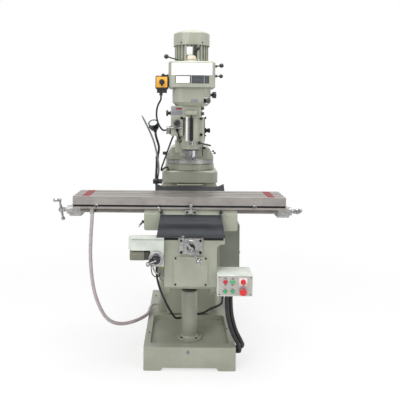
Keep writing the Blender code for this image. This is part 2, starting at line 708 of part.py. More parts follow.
# ================================================================ knee
def make_knee(column):
    """The knee: a hollow casting that hangs on the column's way and carries the saddle's way."""
    half = KNEE_WIDTH / 2
    waist = KNEE_WAIST / 2
    step = half - waist
    flare_top = KNEE_TOP - KNEE_SHOULDER
    flare_bottom = flare_top - KNEE_FLARE
    flare = [
        (half - step * math.sin(a), flare_bottom + KNEE_FLARE * math.cos(a))
        for a in (math.radians(18 * i) for i in range(6))
    ]
    edge = 0.008
    rail_draw = RAIL_HEIGHT * DOVETAIL_SLOPE
    outline = mirrored(
        [(RAIL_WIDTH / 2, RAIL_TOP), (RAIL_WIDTH / 2 - rail_draw, KNEE_TOP),
         (half - edge, KNEE_TOP), (half, KNEE_TOP - edge)]
        + flare
        + [(waist, KNEE_BOTTOM)]
    )
    pivot = (0, 0, KNEE_TOP)
    knee = add("knee_casting", prism(outline, "Y", KNEE_FRONT, -0.150), PAINT, pivot, column)
    back = mirrored(
        [(RAIL_WIDTH / 2, RAIL_TOP), (RAIL_WIDTH / 2 - rail_draw, KNEE_TOP),
         (half, KNEE_TOP), (half, KNEE_BOTTOM)]
    )
    join(knee, prism(back, "Y", -0.150 - SINK, KNEE_CHEEK))
    nose = [(KNEE_FRONT - SINK, KNEE_BOTTOM - SINK), (KNEE_FRONT + KNEE_NOSE, KNEE_BOTTOM - SINK),
            (KNEE_FRONT + KNEE_NOSE, KNEE_BOTTOM), (KNEE_FRONT + SINK, KNEE_FRONT_BOTTOM),
            (KNEE_FRONT - SINK, KNEE_FRONT_BOTTOM)]
    cut(knee, prism(nose, "X", -half - SINK, half + SINK))
    ramp = [(KNEE_FRONT - SINK, KNEE_TOP), (KNEE_FRONT + RAIL_SETBACK, KNEE_TOP),
            (KNEE_FRONT + RAIL_SETBACK + RAIL_HEIGHT, RAIL_TOP + SINK),
            (KNEE_FRONT - SINK, RAIL_TOP + SINK)]
    cut(knee, prism(ramp, "X", -half - SINK, half + SINK))
    panel_low = KNEE_FRONT_BOTTOM + 0.008
    join(knee, block((-PANEL_WIDTH / 2, KNEE_FRONT - PANEL_PROUD, panel_low),
                     (PANEL_WIDTH / 2, KNEE_FRONT + SINK, panel_low + PANEL_HEIGHT), 0.010, "Y", 2))
    join(knee, block((-FLANGE_WIDTH / 2, KNEE_FRONT - FLANGE_THICK, CROSS_Z - FLANGE_HEIGHT / 2),
                     (FLANGE_WIDTH / 2, KNEE_FRONT + SINK, CROSS_Z + FLANGE_HEIGHT / 2), 0.008, "Y", 2))
    join(knee, *pump_shapes())
    rear_wall = -KNEE_WALL
    room = waist - KNEE_WALL
    cut(knee, block((-room, KNEE_FRONT + KNEE_WALL + PANEL_PROUD, KNEE_BOTTOM - SINK),
                    (room, rear_wall, KNEE_ROOM_TOP)))
    cut(knee, block((-TROUGH_WIDTH / 2, KNEE_FRONT + KNEE_WALL, TROUGH_FLOOR),
                    (TROUGH_WIDTH / 2, rear_wall, RAIL_TOP + SINK)))
    way = mirrored([
        (WAY_WIDTH / 2 + RUN, -RUN),
        (WAY_WIDTH / 2 + RUN - (KNEE_CHEEK + SINK) * DOVETAIL_SLOPE, KNEE_CHEEK + SINK),
    ])
    cut(knee, prism(way, "Z", KNEE_BOTTOM - SINK, RAIL_TOP + SINK))
    cut(knee, rod((0, KNEE_FRONT - FLANGE_THICK - SINK, CROSS_Z),
                  (0, KNEE_FRONT + KNEE_WALL + SINK, CROSS_Z), CROSS_RADIUS + RUN, 20))
    screw_seat = ELEVATING_RADIUS + RUN
    cut(knee, rod((0, SCREW_Y, KNEE_ROOM_TOP - SINK), (0, SCREW_Y, KNEE_ROOM_TOP + SCREW_SEAT_DEPTH),
                  screw_seat, 24))
    return knee


def make_elevating_screw(knee):
    """The screw that hangs in the knee and runs down into the pedestal."""
    top = KNEE_ROOM_TOP + SCREW_SEAT_DEPTH - SEAT
    bottom = PEDESTAL_TOP - KNEE_UP - SCREW_GRIP
    profile = [(0, bottom), (ELEVATING_RADIUS - 0.003, bottom), (ELEVATING_RADIUS, bottom + 0.003),
               (ELEVATING_RADIUS, top), (0, top)]
    shape = turned(profile, (0, SCREW_Y, 0), (0, 0, 1), 24)
    add("elevating_screw", shape, "bright_steel", (0, SCREW_Y, KNEE_ROOM_TOP), knee)


def ball_crank(name, centre, outward, arm, finish, parent):
    """A machine handle: two balls and a hub turned in one bar, with a grip on one end."""
    outward = Vector(outward)
    arm = Vector(arm).normalized()
    start = Vector(centre) - arm * CRANK_THROW
    neck = CRANK_BALL * 0.5
    hub = CRANK_BALL * 1.45
    profile = ball_profile(CRANK_BALL, 0, 0, 155, 5)
    middle = ball_profile(hub, CRANK_THROW, 25, 155, 4)
    far = ball_profile(CRANK_BALL, 2 * CRANK_THROW, 25, 180, 5)
    profile = profile + [(neck + 0.0015, CRANK_THROW * 0.6)] + middle
    profile += [(neck + 0.0015, CRANK_THROW * 1.4)] + far
    profile[0] = (0, -CRANK_BALL)
    profile[-1] = (0, 2 * CRANK_THROW + CRANK_BALL)
    crank = add(name, turned(profile, start, arm, 12), finish, centre, parent)
    boss = rod(Vector(centre) - outward * (hub + 0.006), Vector(centre) + outward * 0.004, 0.014, 16)
    grip_from = start - outward * 0.002
    grip = turned(
        [(0, 0), (0.006, 0), (0.006, CRANK_BALL), (0.009, CRANK_BALL + 0.004),
         (0.011, GRIP_LENGTH * 0.72), (0.008, GRIP_LENGTH - 0.002), (0, GRIP_LENGTH)],
        grip_from, outward, 12,
    )
    join(crank, boss, grip)
    return crank


def make_cross_feed(knee):
    """The cross-feed screw with its dial, and its ball crank."""
    dial_back = KNEE_FRONT - FLANGE_THICK - RUN
    dial_front = dial_back - DIAL_LENGTH
    nose = 0.012
    end = -KNEE_WALL - 0.030
    profile = [
        (0, dial_front - nose), (0.013, dial_front - nose), (0.013, dial_front - 0.001),
        (DIAL_RADIUS - 0.003, dial_front), (DIAL_RADIUS, dial_front + 0.003),
        (DIAL_RADIUS, dial_back), (CROSS_RADIUS, dial_back), (CROSS_RADIUS, end), (0, end),
    ]
    screw = add("cross_screw", turned(profile, (0, 0, CROSS_Z), (0, 1, 0), 24), "bright_steel",
                (0, dial_front, CROSS_Z), knee)
    hub = CRANK_BALL * 1.45 + 0.006
    centre = (0, dial_front - nose - SEAT - hub, CROSS_Z)
    ball_crank("cross_crank", centre, (0, -1, 0), (0.57, 0, -0.82), "bright_steel", screw)


def make_lift(knee):
    """The knee's power lift: gear housing, motor, dial and the elevation crank."""
    face = KNEE_FRONT - SEAT
    right = -KNEE_WAIST / 2 - 0.003
    bottom = LIFT_HOUSING_TOP - LIFT_HOUSING_HEIGHT
    front = face - 0.030
    back = front + LIFT_HOUSING_DEPTH
    left_edge = -KNEE_WIDTH / 2 - SEAT
    lug = [(left_edge, back), (left_edge, face), (right, face), (right, front),
           (LIFT_HOUSING_LEFT + 0.020, front), (LIFT_HOUSING_LEFT, front + 0.020),
           (LIFT_HOUSING_LEFT, back - 0.020), (LIFT_HOUSING_LEFT + 0.020, back)]
    housing = add("lift_housing", prism(lug, "Z", bottom, LIFT_HOUSING_TOP), "cabinet_paint",
                  (LIFT_X, front, LIFT_Z), knee)
    foot = LIFT_NECK_Z
    neck = block((LIFT_X - 0.034, front, foot), (right, back, bottom + SINK))
    join(housing, neck)
    cut(housing, rod((LIFT_X, front - SINK, LIFT_Z), (LIFT_X, back, LIFT_Z), 0.009 + RUN, 16))
    motor_z = bottom - SEAT - LIFT_MOTOR_RADIUS
    motor_left = LIFT_HOUSING_LEFT + 0.008
    motor_y = front + LIFT_HOUSING_DEPTH * 0.45
    end = LIFT_MOTOR_LENGTH
    profile = [(0, 0), (LIFT_MOTOR_RADIUS - 0.004, 0), (LIFT_MOTOR_RADIUS, 0.004),
               (LIFT_MOTOR_RADIUS, end * 0.72), (LIFT_MOTOR_RADIUS - 0.003, end * 0.74),
               (LIFT_MOTOR_RADIUS - 0.003, end), (0, end)]
    add("lift_motor", turned(profile, (motor_left, motor_y, motor_z), (1, 0, 0), 24), "dark_paint",
        (motor_left, motor_y, motor_z), housing)
    make_elevation_crank(housing, front)


def make_elevation_crank(housing, front):
    """The shaft with its dial and hub, and the short crank arm with its round grip."""
    dial_back = front - RUN
    dial_front = dial_back - DIAL_LENGTH
    nose = 0.016
    profile = [
        (0, dial_front - nose), (0.012, dial_front - nose), (0.012, dial_front - 0.001),
        (DIAL_RADIUS - 0.004, dial_front), (DIAL_RADIUS, dial_front + 0.003),
        (DIAL_RADIUS, dial_back), (0.009, dial_back), (0.009, dial_back + 0.060),
        (0, dial_back + 0.060),
    ]
    shaft = add("elevation_dial", turned(profile, (LIFT_X, 0, LIFT_Z), (0, 1, 0), 24), "bright_steel",
                (LIFT_X, dial_front, LIFT_Z), housing)
    arm_front = dial_front - nose - SEAT - 0.016
    arm = Vector((-0.93, 0, -0.37)).normalized()
    end = Vector((LIFT_X, arm_front, LIFT_Z)) + arm * LIFT_ARM
    hub = [(0, 0), (0.015, 0), (0.019, 0.003), (0.019, 0.016), (0, 0.016)]
    crank = add("elevation_crank", turned(hub, (LIFT_X, arm_front, LIFT_Z), (0, 1, 0), 16),
                "bright_steel", (LIFT_X, arm_front, LIFT_Z), shaft)
    bar_back = arm_front + 0.013
    bar_front = arm_front + 0.003
    side = Vector((-arm.z, 0, arm.x))
    hub_point = Vector((LIFT_X, 0, LIFT_Z))
    tail = hub_point - arm * 0.024
    bar = [tail + side * 0.006, tail - side * 0.006, hub_point - side * 0.011,
           end - side * 0.007 + arm * 0.008, end + side * 0.007 + arm * 0.008, hub_point + side * 0.011]
    join(crank, prism([(p.x, p.z) for p in bar], "Y", bar_front, bar_back))
    grip = turned(
        [(0, 0), (0.005, 0), (0.005, 0.010), (0.009, 0.014), (0.010, 0.020), (0.008, 0.027), (0, 0.029)],
        (end.x, bar_back - 0.006, end.z), (0, -1, 0), 12,
    )
    join(crank, grip)


def make_controls(knee):
    """The control box on the knee's right side, its buttons, isolator knob and emergency stop."""
    left = KNEE_WAIST / 2 + SEAT
    right = left + CONTROL_WIDTH + 0.004
    bottom = CONTROL_TOP - CONTROL_HEIGHT
    back = CONTROL_FRONT + CONTROL_DEPTH
    lean = 0.010
    side = [(CONTROL_FRONT, CONTROL_TOP), (back, CONTROL_TOP), (back, bottom),
            (CONTROL_FRONT + lean, bottom)]
    box = add("control_box", prism(side, "X", left, right), "cabinet_paint",
              (left, CONTROL_FRONT, CONTROL_TOP), knee)
    bevel(box, 0.004, 2)
    out = Vector((0, -CONTROL_HEIGHT, -lean)).normalized()

    def on_face(x, z):
        """A point of the leaning front face."""
        return Vector((x, CONTROL_FRONT + lean * (CONTROL_TOP - z) / CONTROL_HEIGHT, z))

    centre_x = (left + right) / 2
    row_top = CONTROL_TOP - 0.036
    row_low = CONTROL_TOP - 0.092
    for name, x, z in (
        ("green_button_left", centre_x - 0.056, row_low),
        ("green_button_right", centre_x - 0.014, row_low),
    ):
        make_button(name, on_face(x, z), out, "green_plastic", BUTTON_RADIUS, BUTTON_TRAVEL, box)
    stop_at = on_face(right - 0.056, row_low)
    make_stop_button(stop_at, out, box)
    make_isolator(on_face(right - 0.056, row_top), out, box)
    return box


def make_button(name, at, out, finish, radius, travel, box):
    """A round push button standing on its collar, with room for its travel behind the cap."""
    profile = [(0, travel + SEAT), (radius, travel + SEAT), (radius, travel + 0.005),
               (radius - 0.002, travel + 0.007), (0, travel + 0.008)]
    stem = [(0, -0.012), (radius * 0.45, -0.012), (radius * 0.45, travel + SINK / 2), (0, travel + SINK / 2)]
    button = add(name, turned(profile, at, out, 16), finish, at, box)
    join(button, turned(stem, at, out, 12))
    cut(box, rod(at - out * (0.013 + travel), at + out * SINK, radius * 0.45 + RUN, 12))


def make_stop_button(at, out, box):
    """The emergency stop: a mushroom head on a short neck."""
    neck = STOP_RADIUS * 0.5
    rise = STOP_TRAVEL + 0.008
    profile = [
        (0, -0.012), (neck, -0.012), (neck, rise), (STOP_RADIUS, rise + 0.001),
        (STOP_RADIUS, rise + 0.006), (STOP_RADIUS * 0.8, rise + 0.011), (0, rise + 0.013),
    ]
    add("emergency_stop", turned(profile, at, out, 20), "red_plastic", at, box)
    cut(box, rod(at - out * (0.013 + STOP_TRAVEL), at + out * SINK, neck + RUN, 20))


def make_isolator(at, out, box):
    """The mains isolator: a square plate fused to the box and a knob that turns on it."""
    half = KNOB_SIDE / 2
    plate_back = at.y
    plate = block((at.x - half, plate_back - 0.007, at.z - half), (at.x + half, plate_back + 0.004,
                  at.z + half), 0.003, "Y", 1)
    join(box, plate)
    base = at + Vector((0, -0.007 - SEAT, 0))
    knob = add("isolator_knob", turned([(0, 0), (0.015, 0), (0.014, 0.006), (0, 0.006)], base,
                                       (0, -1, 0), 20), "red_plastic", base, box)
    join(knob, block((base.x - 0.005, base.y - 0.020, base.z - 0.017),
                     (base.x + 0.005, base.y - 0.003, base.z + 0.017), 0.003, "Y", 2))
    return knob


def pump_shapes():
    """The hand lubrication pump on the knee's left side, under the elevation crank."""
    right = -KNEE_WAIST / 2
    low = (right - PUMP_WIDTH, KNEE_FRONT + PUMP_SETBACK, PUMP_TOP - PUMP_HEIGHT)
    high = (right + SINK, low[1] + PUMP_WIDTH, PUMP_TOP)
    stem = Vector((right - PUMP_WIDTH / 2, low[1] + PUMP_WIDTH / 2, PUMP_TOP))
    knob = rod(stem - Vector((0, 0, SINK)), stem + Vector((0, 0, 0.014)), 0.008, 12)
    return block(low, high, 0.010, "Z", 2), knob


def pleated(x_low, x_high, start, end, folds):
    """A pleated sheet between two lines across the machine, given as (y, z) points of its underside.
    Its two ends are cut upright, to lie flat on what holds them."""
    start, end = Vector((0, *start)), Vector((0, *end))
    along = (end - start) / (2 * folds)
    across = Vector((0, -along.z, along.y)).normalized()
    upright = Vector((0, 0, COVER_THICK / across.z))
    outer = []
    inner = []
    for i in range(2 * folds + 1):
        under = start + along * i + across * (COVER_RISE if i % 2 else 0.0)
        over = under + (upright if i in (0, 2 * folds) else across * COVER_THICK)
        inner.append((under.y, under.z))
        outer.append((over.y, over.z))
    return prism(outer + list(reversed(inner)), "X", x_low, x_high)


def make_way_covers(knee):
    """The two black rubber covers, one in front of the saddle and one behind it."""
    half = KNEE_WIDTH / 2 - 2 * COVER_THICK
    saddle_front = TABLE_FRONT
    saddle_back = saddle_front + SADDLE_DEPTH
    front = pleated(-half, half, (KNEE_FRONT + SEAT, KNEE_TOP + SEAT),
                    (saddle_front - SEAT, FRONT_COVER_TOP), 4)
    add("front_way_cover", front, "black_rubber", (0, KNEE_FRONT, KNEE_TOP), knee)
    rear_half = REAR_COVER_WIDTH / 2
    rear = pleated(-rear_half, rear_half, (saddle_back + SEAT, SADDLE_TOP - 2 * COVER_THICK),
                   (-SEAT, WAY_TOP - 2 * COVER_THICK), 5)
    add("rear_way_cover", rear, "black_rubber", (0, saddle_back, SADDLE_TOP), knee)


# ================================================================ saddle and table
def make_saddle(knee):
    """The saddle: it rides on the knee's way and carries the table's way across."""
    half = SADDLE_WIDTH / 2
    skirt = SADDLE_SKIRT / 2
    draw = (RAIL_HEIGHT + RUN) * DOVETAIL_SLOPE
    under = KNEE_TOP + RUN
    rail = RAIL_WIDTH / 2 + RUN
    edge = 0.008
    outline = mirrored([
        (half - edge, SADDLE_TOP), (half, SADDLE_TOP - edge), (half, SADDLE_WAIST + edge),
        (half - edge, SADDLE_WAIST), (skirt, SADDLE_WAIST), (skirt, under),
        (rail - draw, under), (rail, RAIL_TOP + RUN),
    ])
    pivot = (0, TABLE_Y, SADDLE_TOP)
    saddle = add("saddle_casting", prism(outline, "Y", TABLE_FRONT, TABLE_FRONT + SADDLE_DEPTH), PAINT,
                 pivot, knee)
    tail_half = TAIL_WIDTH / 2 + RUN
    tail_draw = (TAIL_HEIGHT + RUN) * DOVETAIL_SLOPE
    slot = [(TABLE_Y - tail_half + tail_draw, SADDLE_TOP + SINK), (TABLE_Y + tail_half - tail_draw,
            SADDLE_TOP + SINK), (TABLE_Y + tail_half - tail_draw, SADDLE_TOP),
            (TABLE_Y + tail_half, TABLE_BOTTOM - TAIL_HEIGHT - RUN),
            (TABLE_Y - tail_half, TABLE_BOTTOM - TAIL_HEIGHT - RUN),
            (TABLE_Y - tail_half + tail_draw, SADDLE_TOP)]
    cut(saddle, prism(slot, "X", -half - SINK, half + SINK))
    groove = FEED_RADIUS + 0.004
    cut(saddle, block((-half - SINK, TABLE_Y - groove, FEED_Z - groove),
                      (half + SINK, TABLE_Y + groove, SADDLE_TOP - TAIL_HEIGHT + SINK)))
    shape_saddle_front(saddle, half)
    return saddle


def shape_saddle_front(saddle, half):
    """The sloping band along the saddle's front, its two lock bosses and the stop bracket."""
    front = TABLE_FRONT
    band = SADDLE_TOP - SADDLE_SLOPE_HEIGHT
    deep = front + SADDLE_SLOPE_DEPTH
    slope = [(front - SINK, band), (front, band), (deep, SADDLE_TOP), (deep, SADDLE_TOP + SINK),
             (front - SINK, SADDLE_TOP + SINK)]
    cut(saddle, prism(slope, "X", -half - SINK, half + SINK))
    for x in (LEFT_LOCK_X, RIGHT_LOCK_X):
        join(saddle, rod((x, front, LOCK_Z), (x, deep + SINK, LOCK_Z), LOCK_BOSS_RADIUS, 16))
    foot_low = SADDLE_TOP - STOP_FOOT_DROP
    foot_half = STOP_FOOT_WIDTH / 2
    post_half = STOP_POST_WIDTH / 2
    post_back = front - STOP_POST_GAP
    foot = block((-foot_half, front - STOP_FOOT_PROUD, foot_low),
                 (foot_half, deep, foot_low + STOP_FOOT_HEIGHT))
    post = block((-post_half, post_back - STOP_POST_THICK, foot_low + SINK),
                 (post_half, post_back, SADDLE_TOP + STOP_POST_RISE))
    join(saddle, foot, post)


def table_section():
    """The table's cross-section in (y, z): T-slots on top and a stop slot in the front face."""
    front, back = TABLE_FRONT, TABLE_FRONT + TABLE_DEPTH
    points = [(front, TABLE_TOP)]
    for i in range(T_SLOTS):
        centre = TABLE_Y + (i - (T_SLOTS - 1) / 2) * T_PITCH
        neck, head = T_WIDTH / 2, T_HEAD_WIDTH / 2
        shelf = TABLE_TOP - T_NECK
        floor = shelf - T_HEAD_HEIGHT
        points += [(centre - neck, TABLE_TOP), (centre - neck, shelf), (centre - head, shelf),
                   (centre - head, floor), (centre + head, floor), (centre + head, shelf),
                   (centre + neck, shelf), (centre + neck, TABLE_TOP)]
    stop = TABLE_TOP - STOP_SLOT_DROP
    half = STOP_SLOT_HEIGHT / 2
    points += [(back, TABLE_TOP), (back, TABLE_BOTTOM), (front, TABLE_BOTTOM),
               (front, stop - half), (front + STOP_SLOT_DEPTH, stop - half),
               (front + STOP_SLOT_DEPTH, stop + half), (front, stop + half)]
    return points


def make_table(saddle):
    """The work table with its T-slots, and the dovetail tail that runs in the saddle."""
    table = add("table", prism(table_section(), "X", TABLE_LEFT, TABLE_RIGHT), "ground_iron",
                (TABLE_REST_X, TABLE_Y, TABLE_TOP), saddle)
    draw = TAIL_HEIGHT * DOVETAIL_SLOPE
    half = TAIL_WIDTH / 2
    channel = FEED_RADIUS + 0.006
    floor = TABLE_BOTTOM - TAIL_HEIGHT
    tail = [(TABLE_Y - half + draw, TABLE_BOTTOM + SINK), (TABLE_Y - half + draw, TABLE_BOTTOM),
            (TABLE_Y - half, floor), (TABLE_Y - channel, floor), (TABLE_Y - channel, TABLE_BOTTOM - SEAT),
            (TABLE_Y + channel, TABLE_BOTTOM - SEAT), (TABLE_Y + channel, floor),
            (TABLE_Y + half, floor), (TABLE_Y + half - draw, TABLE_BOTTOM),
            (TABLE_Y + half - draw, TABLE_BOTTOM + SINK)]
    clear = BRACKET_UNDER + SEAT
    join(table, prism(tail, "X", TABLE_LEFT + clear, TABLE_RIGHT - clear))
    return table


def make_table_ends(table):
    """A screw bracket under each end, the feed screw with its dials, and the two ball cranks."""
    half = BRACKET_DEPTH / 2
    top = TABLE_BOTTOM - SEAT
    low = top - BRACKET_HEIGHT
    bore = FEED_RADIUS + RUN
    corner = 0.012
    profile = rounded(TABLE_Y - half, TABLE_Y + half, low, top, corner, 2)
    ends = (("left_screw_bracket", TABLE_LEFT, -1), ("right_screw_bracket", TABLE_RIGHT, 1))
    for name, end, side in ends:
        inner = end - side * BRACKET_UNDER
        outer = end + side * BRACKET_OUT
        bracket = add(name, prism(profile, "X", min(inner, outer), max(inner, outer)), "bright_steel",
                      (end, TABLE_Y, FEED_Z), table)
        cut(bracket, rod((inner - side * SINK, TABLE_Y, FEED_Z), (outer + side * SINK, TABLE_Y, FEED_Z),
                         bore, 20))
    dial = TABLE_DIAL_RADIUS
    left = TABLE_LEFT - BRACKET_OUT - RUN
    right = TABLE_RIGHT + BRACKET_OUT + RUN
    nose = 0.012
    stub = 0.011
    profile = [
        (0, left - DIAL_LENGTH - nose), (stub, left - DIAL_LENGTH - nose), (stub, left - DIAL_LENGTH),
        (dial - 0.003, left - DIAL_LENGTH), (dial, left - DIAL_LENGTH + 0.003), (dial, left),
        (FEED_RADIUS, left), (FEED_RADIUS, right), (dial, right),
        (dial, right + DIAL_LENGTH - 0.003), (dial - 0.003, right + DIAL_LENGTH),
        (stub, right + DIAL_LENGTH), (stub, right + DIAL_LENGTH + nose),
        (0, right + DIAL_LENGTH + nose),
    ]
    screw = add("table_screw", turned(profile, (0, TABLE_Y, FEED_Z), (1, 0, 0), 20), "bright_steel",
                (TABLE_REST_X, TABLE_Y, FEED_Z), table)
    hub = CRANK_BALL * 1.45 + 0.006
    reach = DIAL_LENGTH + nose + SEAT + hub
    ball_crank("left_table_crank", (left - reach, TABLE_Y, FEED_Z), (-1, 0, 0), (0, 0.60, -0.80),
               "bright_steel", screw)
    ball_crank("right_table_crank", (right + reach, TABLE_Y, FEED_Z), (1, 0, 0), (0, -0.97, 0.24),
               "bright_steel", screw)


def make_locks(saddle):
    """Two table lock levers on the saddle's front and a saddle lock lever on its left side."""
    front = TABLE_FRONT - SEAT
    for name, x, aim in (("left_table_lock", LEFT_LOCK_X, (-0.42, -0.2, 0.80)),
                         ("right_table_lock", RIGHT_LOCK_X, (0.70, -0.2, -0.70))):
        at = Vector((x, front, LOCK_Z))
        hub = turned([(0, 0), (0.009, 0), (0.009, 0.018), (0.006, 0.022), (0, 0.022)], at, (0, -1, 0), 12)
        lever = add(name, hub, "bright_steel", at, saddle)
        start = at + Vector((0, -0.014, 0))
        join(lever, turned(stick_profile(LOCK_ARM, 0.0042, 0.0065), start, aim, 10))
    side = -SADDLE_WIDTH / 2 - SEAT
    at = Vector((side, TABLE_FRONT + 0.040, 0.878))
    hub = turned([(0, 0), (0.008, 0), (0.008, 0.014), (0, 0.016)], at, (-1, 0, 0), 12)
    lever = add("saddle_lock", hub, "bright_steel", at, saddle)
    start = at + Vector((-0.009, 0, 0))
    join(lever, turned(stick_profile(LOCK_ARM, 0.0042, 0.0065), start, (-0.55, -0.55, -0.50), 10))


def stick_profile(length, thin, thick):
    """A short handle that thickens towards its round end."""
    return [(0, 0), (thin, 0), (thick, length * 0.7)] + ball_profile(thick, length - thick, 110, 180, 2)


# ================================================================ turret and ram
def make_turret(column):
    """The turret: round flange, graduated ring and the slide that the ram runs in."""
    low = COLUMN_TOP + SEAT
    profile = [
        (0, low), (TURRET_FLANGE - 0.004, low), (TURRET_FLANGE, low + 0.004),
        (TURRET_FLANGE, RING_BASE - 0.005), (TURRET_RING - 0.004, RING_BASE),
        (TURRET_RING, RING_BASE + 0.003), (TURRET_RING, RING_TOP - 0.003),
        (TURRET_RING - 0.003, RING_TOP), (0, RING_TOP),
    ]
    pivot = (0, TURRET_Y, COLUMN_TOP)
    turret = add("turret", turned(profile, (0, TURRET_Y, 0), (0, 0, 1), 40), PAINT, pivot, column)
    half = TURRET_WIDTH / 2
    top_half = half - TURRET_SHOULDER * 0.55
    shoulder = TURRET_TOP - TURRET_SHOULDER
    outline = mirrored([
        (top_half * 0.80, TURRET_TOP), (top_half, TURRET_TOP - 0.008), (half - 0.006, shoulder),
        (half, shoulder - 0.014), (half, RING_TOP - SINK),
    ])
    front = TURRET_Y - TURRET_DEPTH / 2 + 0.012
    back = TURRET_Y + TURRET_DEPTH / 2 - 0.012
    corner = 0.045
    body = prism(outline, "Y", front, back)
    plan = rounded(-half - SINK / 4, half + SINK / 4, front, back, corner, 3)
    trim = prism(plan, "Z", RING_TOP - 2 * SINK, TURRET_TOP + SINK)
    body_piece = add("turret_slide", body, PAINT, pivot)
    combine(body_piece, trim, "INTERSECT")
    body_piece.hide_render = True
    body_piece.display_type = "WIRE"
    union = turret.modifiers.new("Slide", "BOOLEAN")
    union.operation = "UNION"
    union.solver = "EXACT"
    union.object = body_piece
    attach(body_piece, turret)
    tail = RAM_TAIL_WIDTH / 2 + RUN
    draw = (RAM_TAIL_HEIGHT + RUN) * DOVETAIL_SLOPE * 0.6
    floor = TURRET_TOP - RAM_TAIL_HEIGHT - RUN
    slot = mirrored([(tail - draw, TURRET_TOP + SINK), (tail - draw, TURRET_TOP), (tail, floor)])
    cut(turret, prism(slot, "Y", front - SINK * 2, back + SINK * 2))
    return turret


def make_ram(turret):
    """The ram: a dovetail bar with a rounded top that carries the head out over the table."""
    tail = RAM_TAIL_WIDTH / 2
    draw = RAM_TAIL_HEIGHT * DOVETAIL_SLOPE * 0.6
    half = RAM_WIDTH / 2
    under = TURRET_TOP + RUN
    corner = 0.026
    crown = arc((half - corner, RAM_TOP - corner), corner, 90, 0, 3)
    outline = mirrored(crown + [(half, under), (tail - draw, under), (tail, under - RAM_TAIL_HEIGHT)])
    ram = add("ram", prism(outline, "Y", RAM_FRONT, RAM_BACK), PAINT, (0, TURRET_Y, TURRET_TOP), turret)
    knuckle = FORK_GAP / 2 - RUN
    eye = NOD_EYE
    tongue = [(RAM_FRONT + SINK, TILT_Z - eye), (RAM_FRONT + SINK, TILT_Z + eye)]
    tongue += arc((NOD_Y, TILT_Z), eye, 90, 270, 8)
    join(ram, prism(tongue, "X", -knuckle, knuckle))
    return ram


def make_adapter(ram):
    """The ram adapter: a fork on the ram's tongue, and the round face that the head tilts on."""
    half = TILT_RADIUS
    inner = FORK_GAP / 2
    gap = 0.0025
    back = RAM_FRONT - gap
    face = TILT_FACE_Y + SEAT
    fork_radius = back - NOD_Y
    plate = 0.020
    profile = [(0, face), (half - 0.004, face), (half, face + 0.004), (half, face + plate),
               (0, face + plate)]
    adapter = add("ram_adapter", turned(profile, (0, 0, TILT_Z), (0, 1, 0), 32), PAINT,
                  (0, NOD_Y, TILT_Z), ram)
    ear = [(face + plate - SINK, TILT_Z - fork_radius), (NOD_Y, TILT_Z - fork_radius)]
    ear += arc((NOD_Y, TILT_Z), fork_radius, -90, 90, 8)[1:]
    ear += [(face + plate - SINK, TILT_Z + fork_radius)]
    outer = inner + 0.030
    join(adapter, prism(ear, "X", inner, outer), prism(ear, "X", -outer, -inner))
    return adapter


# ================================================================ head
def quill_slot_cutter():
    """The slot in the head's front that the quill stop runs in."""
    half = SLOT_WIDTH / 2
    return block((-half, SPINDLE_Y - 0.120, SLOT_BOTTOM), (half, SPINDLE_Y, HEAD_TOP + SINK))


def make_head(adapter):
    """The quill head: barrel, right side, feed box and worm lug on the left, and the round back."""
    barrel = QUILL_RADIUS + HEAD_WALL
    pivot = (0, TILT_FACE_Y, TILT_Z)
    profile = [(0, COLLAR_BOTTOM), (COLLAR_RADIUS - 0.003, COLLAR_BOTTOM), (COLLAR_RADIUS, COLLAR_BOTTOM
               + 0.003), (COLLAR_RADIUS, HEAD_BOTTOM - 0.004), (barrel, HEAD_BOTTOM), (barrel, HEAD_TOP),
               (0, HEAD_TOP)]
    head = add("head_casting", turned(profile, (0, SPINDLE_Y, 0), (0, 0, 1), 28), PAINT, pivot, adapter)
    body_front = SPINDLE_Y - 0.030
    body_back = TILT_FACE_Y - 0.020
    body = block((-0.060, body_front, HEAD_BOTTOM + 0.004), (HEAD_RIGHT, body_back, HEAD_TOP - 0.002),
                 0.012, "Z", 2)
    back = turned([(0, body_back - SINK), (TILT_RADIUS - 0.006, body_back - SINK),
                   (TILT_RADIUS, body_back + 0.002), (TILT_RADIUS, TILT_FACE_Y), (0, TILT_FACE_Y)],
                  (0, 0, TILT_Z), (0, 1, 0), 32)
    feed = block((FEED_LEFT, FEED_FRONT, FEED_BOTTOM), (FEED_RIGHT, -0.270, NECK_TOP), 0.010, "Z", 2)
    neck = block((-0.078, SPINDLE_Y - 0.066, HEAD_TOP - SINK), (0.066, -0.235, NECK_TOP), 0.016, "Z", 2)
    boss = rod((LOCK_BOSS_X, SPINDLE_Y - LOCK_BOSS_OUT, LOCK_BOSS_Z), (LOCK_BOSS_X, SPINDLE_Y, LOCK_BOSS_Z),
               0.013, 16)
    lug = block((-0.100, SPINDLE_Y + 0.030, TILT_Z - 0.098), (-0.046, body_back, TILT_Z - 0.022), 0.010,
                "Z", 2)
    join(head, body, back, feed, neck, boss, spring_housing(), lug)
    bore = QUILL_RADIUS + RUN
    cut(head, rod((0, SPINDLE_Y, COLLAR_BOTTOM - SINK), (0, SPINDLE_Y, QUILL_TOP + 0.004), bore, 28))
    cut(head, rod((0, SPINDLE_Y, QUILL_TOP), (0, SPINDLE_Y, NECK_TOP + SINK), SPINDLE_RADIUS + 0.004, 16))
    cut(head, quill_slot_cutter())
    hub_from = (HEAD_RIGHT + SINK, SPINDLE_Y + 0.010, PINION_Z)
    cut(head, rod(hub_from, (HEAD_RIGHT - 0.014, SPINDLE_Y + 0.010, PINION_Z), 0.008 + RUN, 16))
    return head


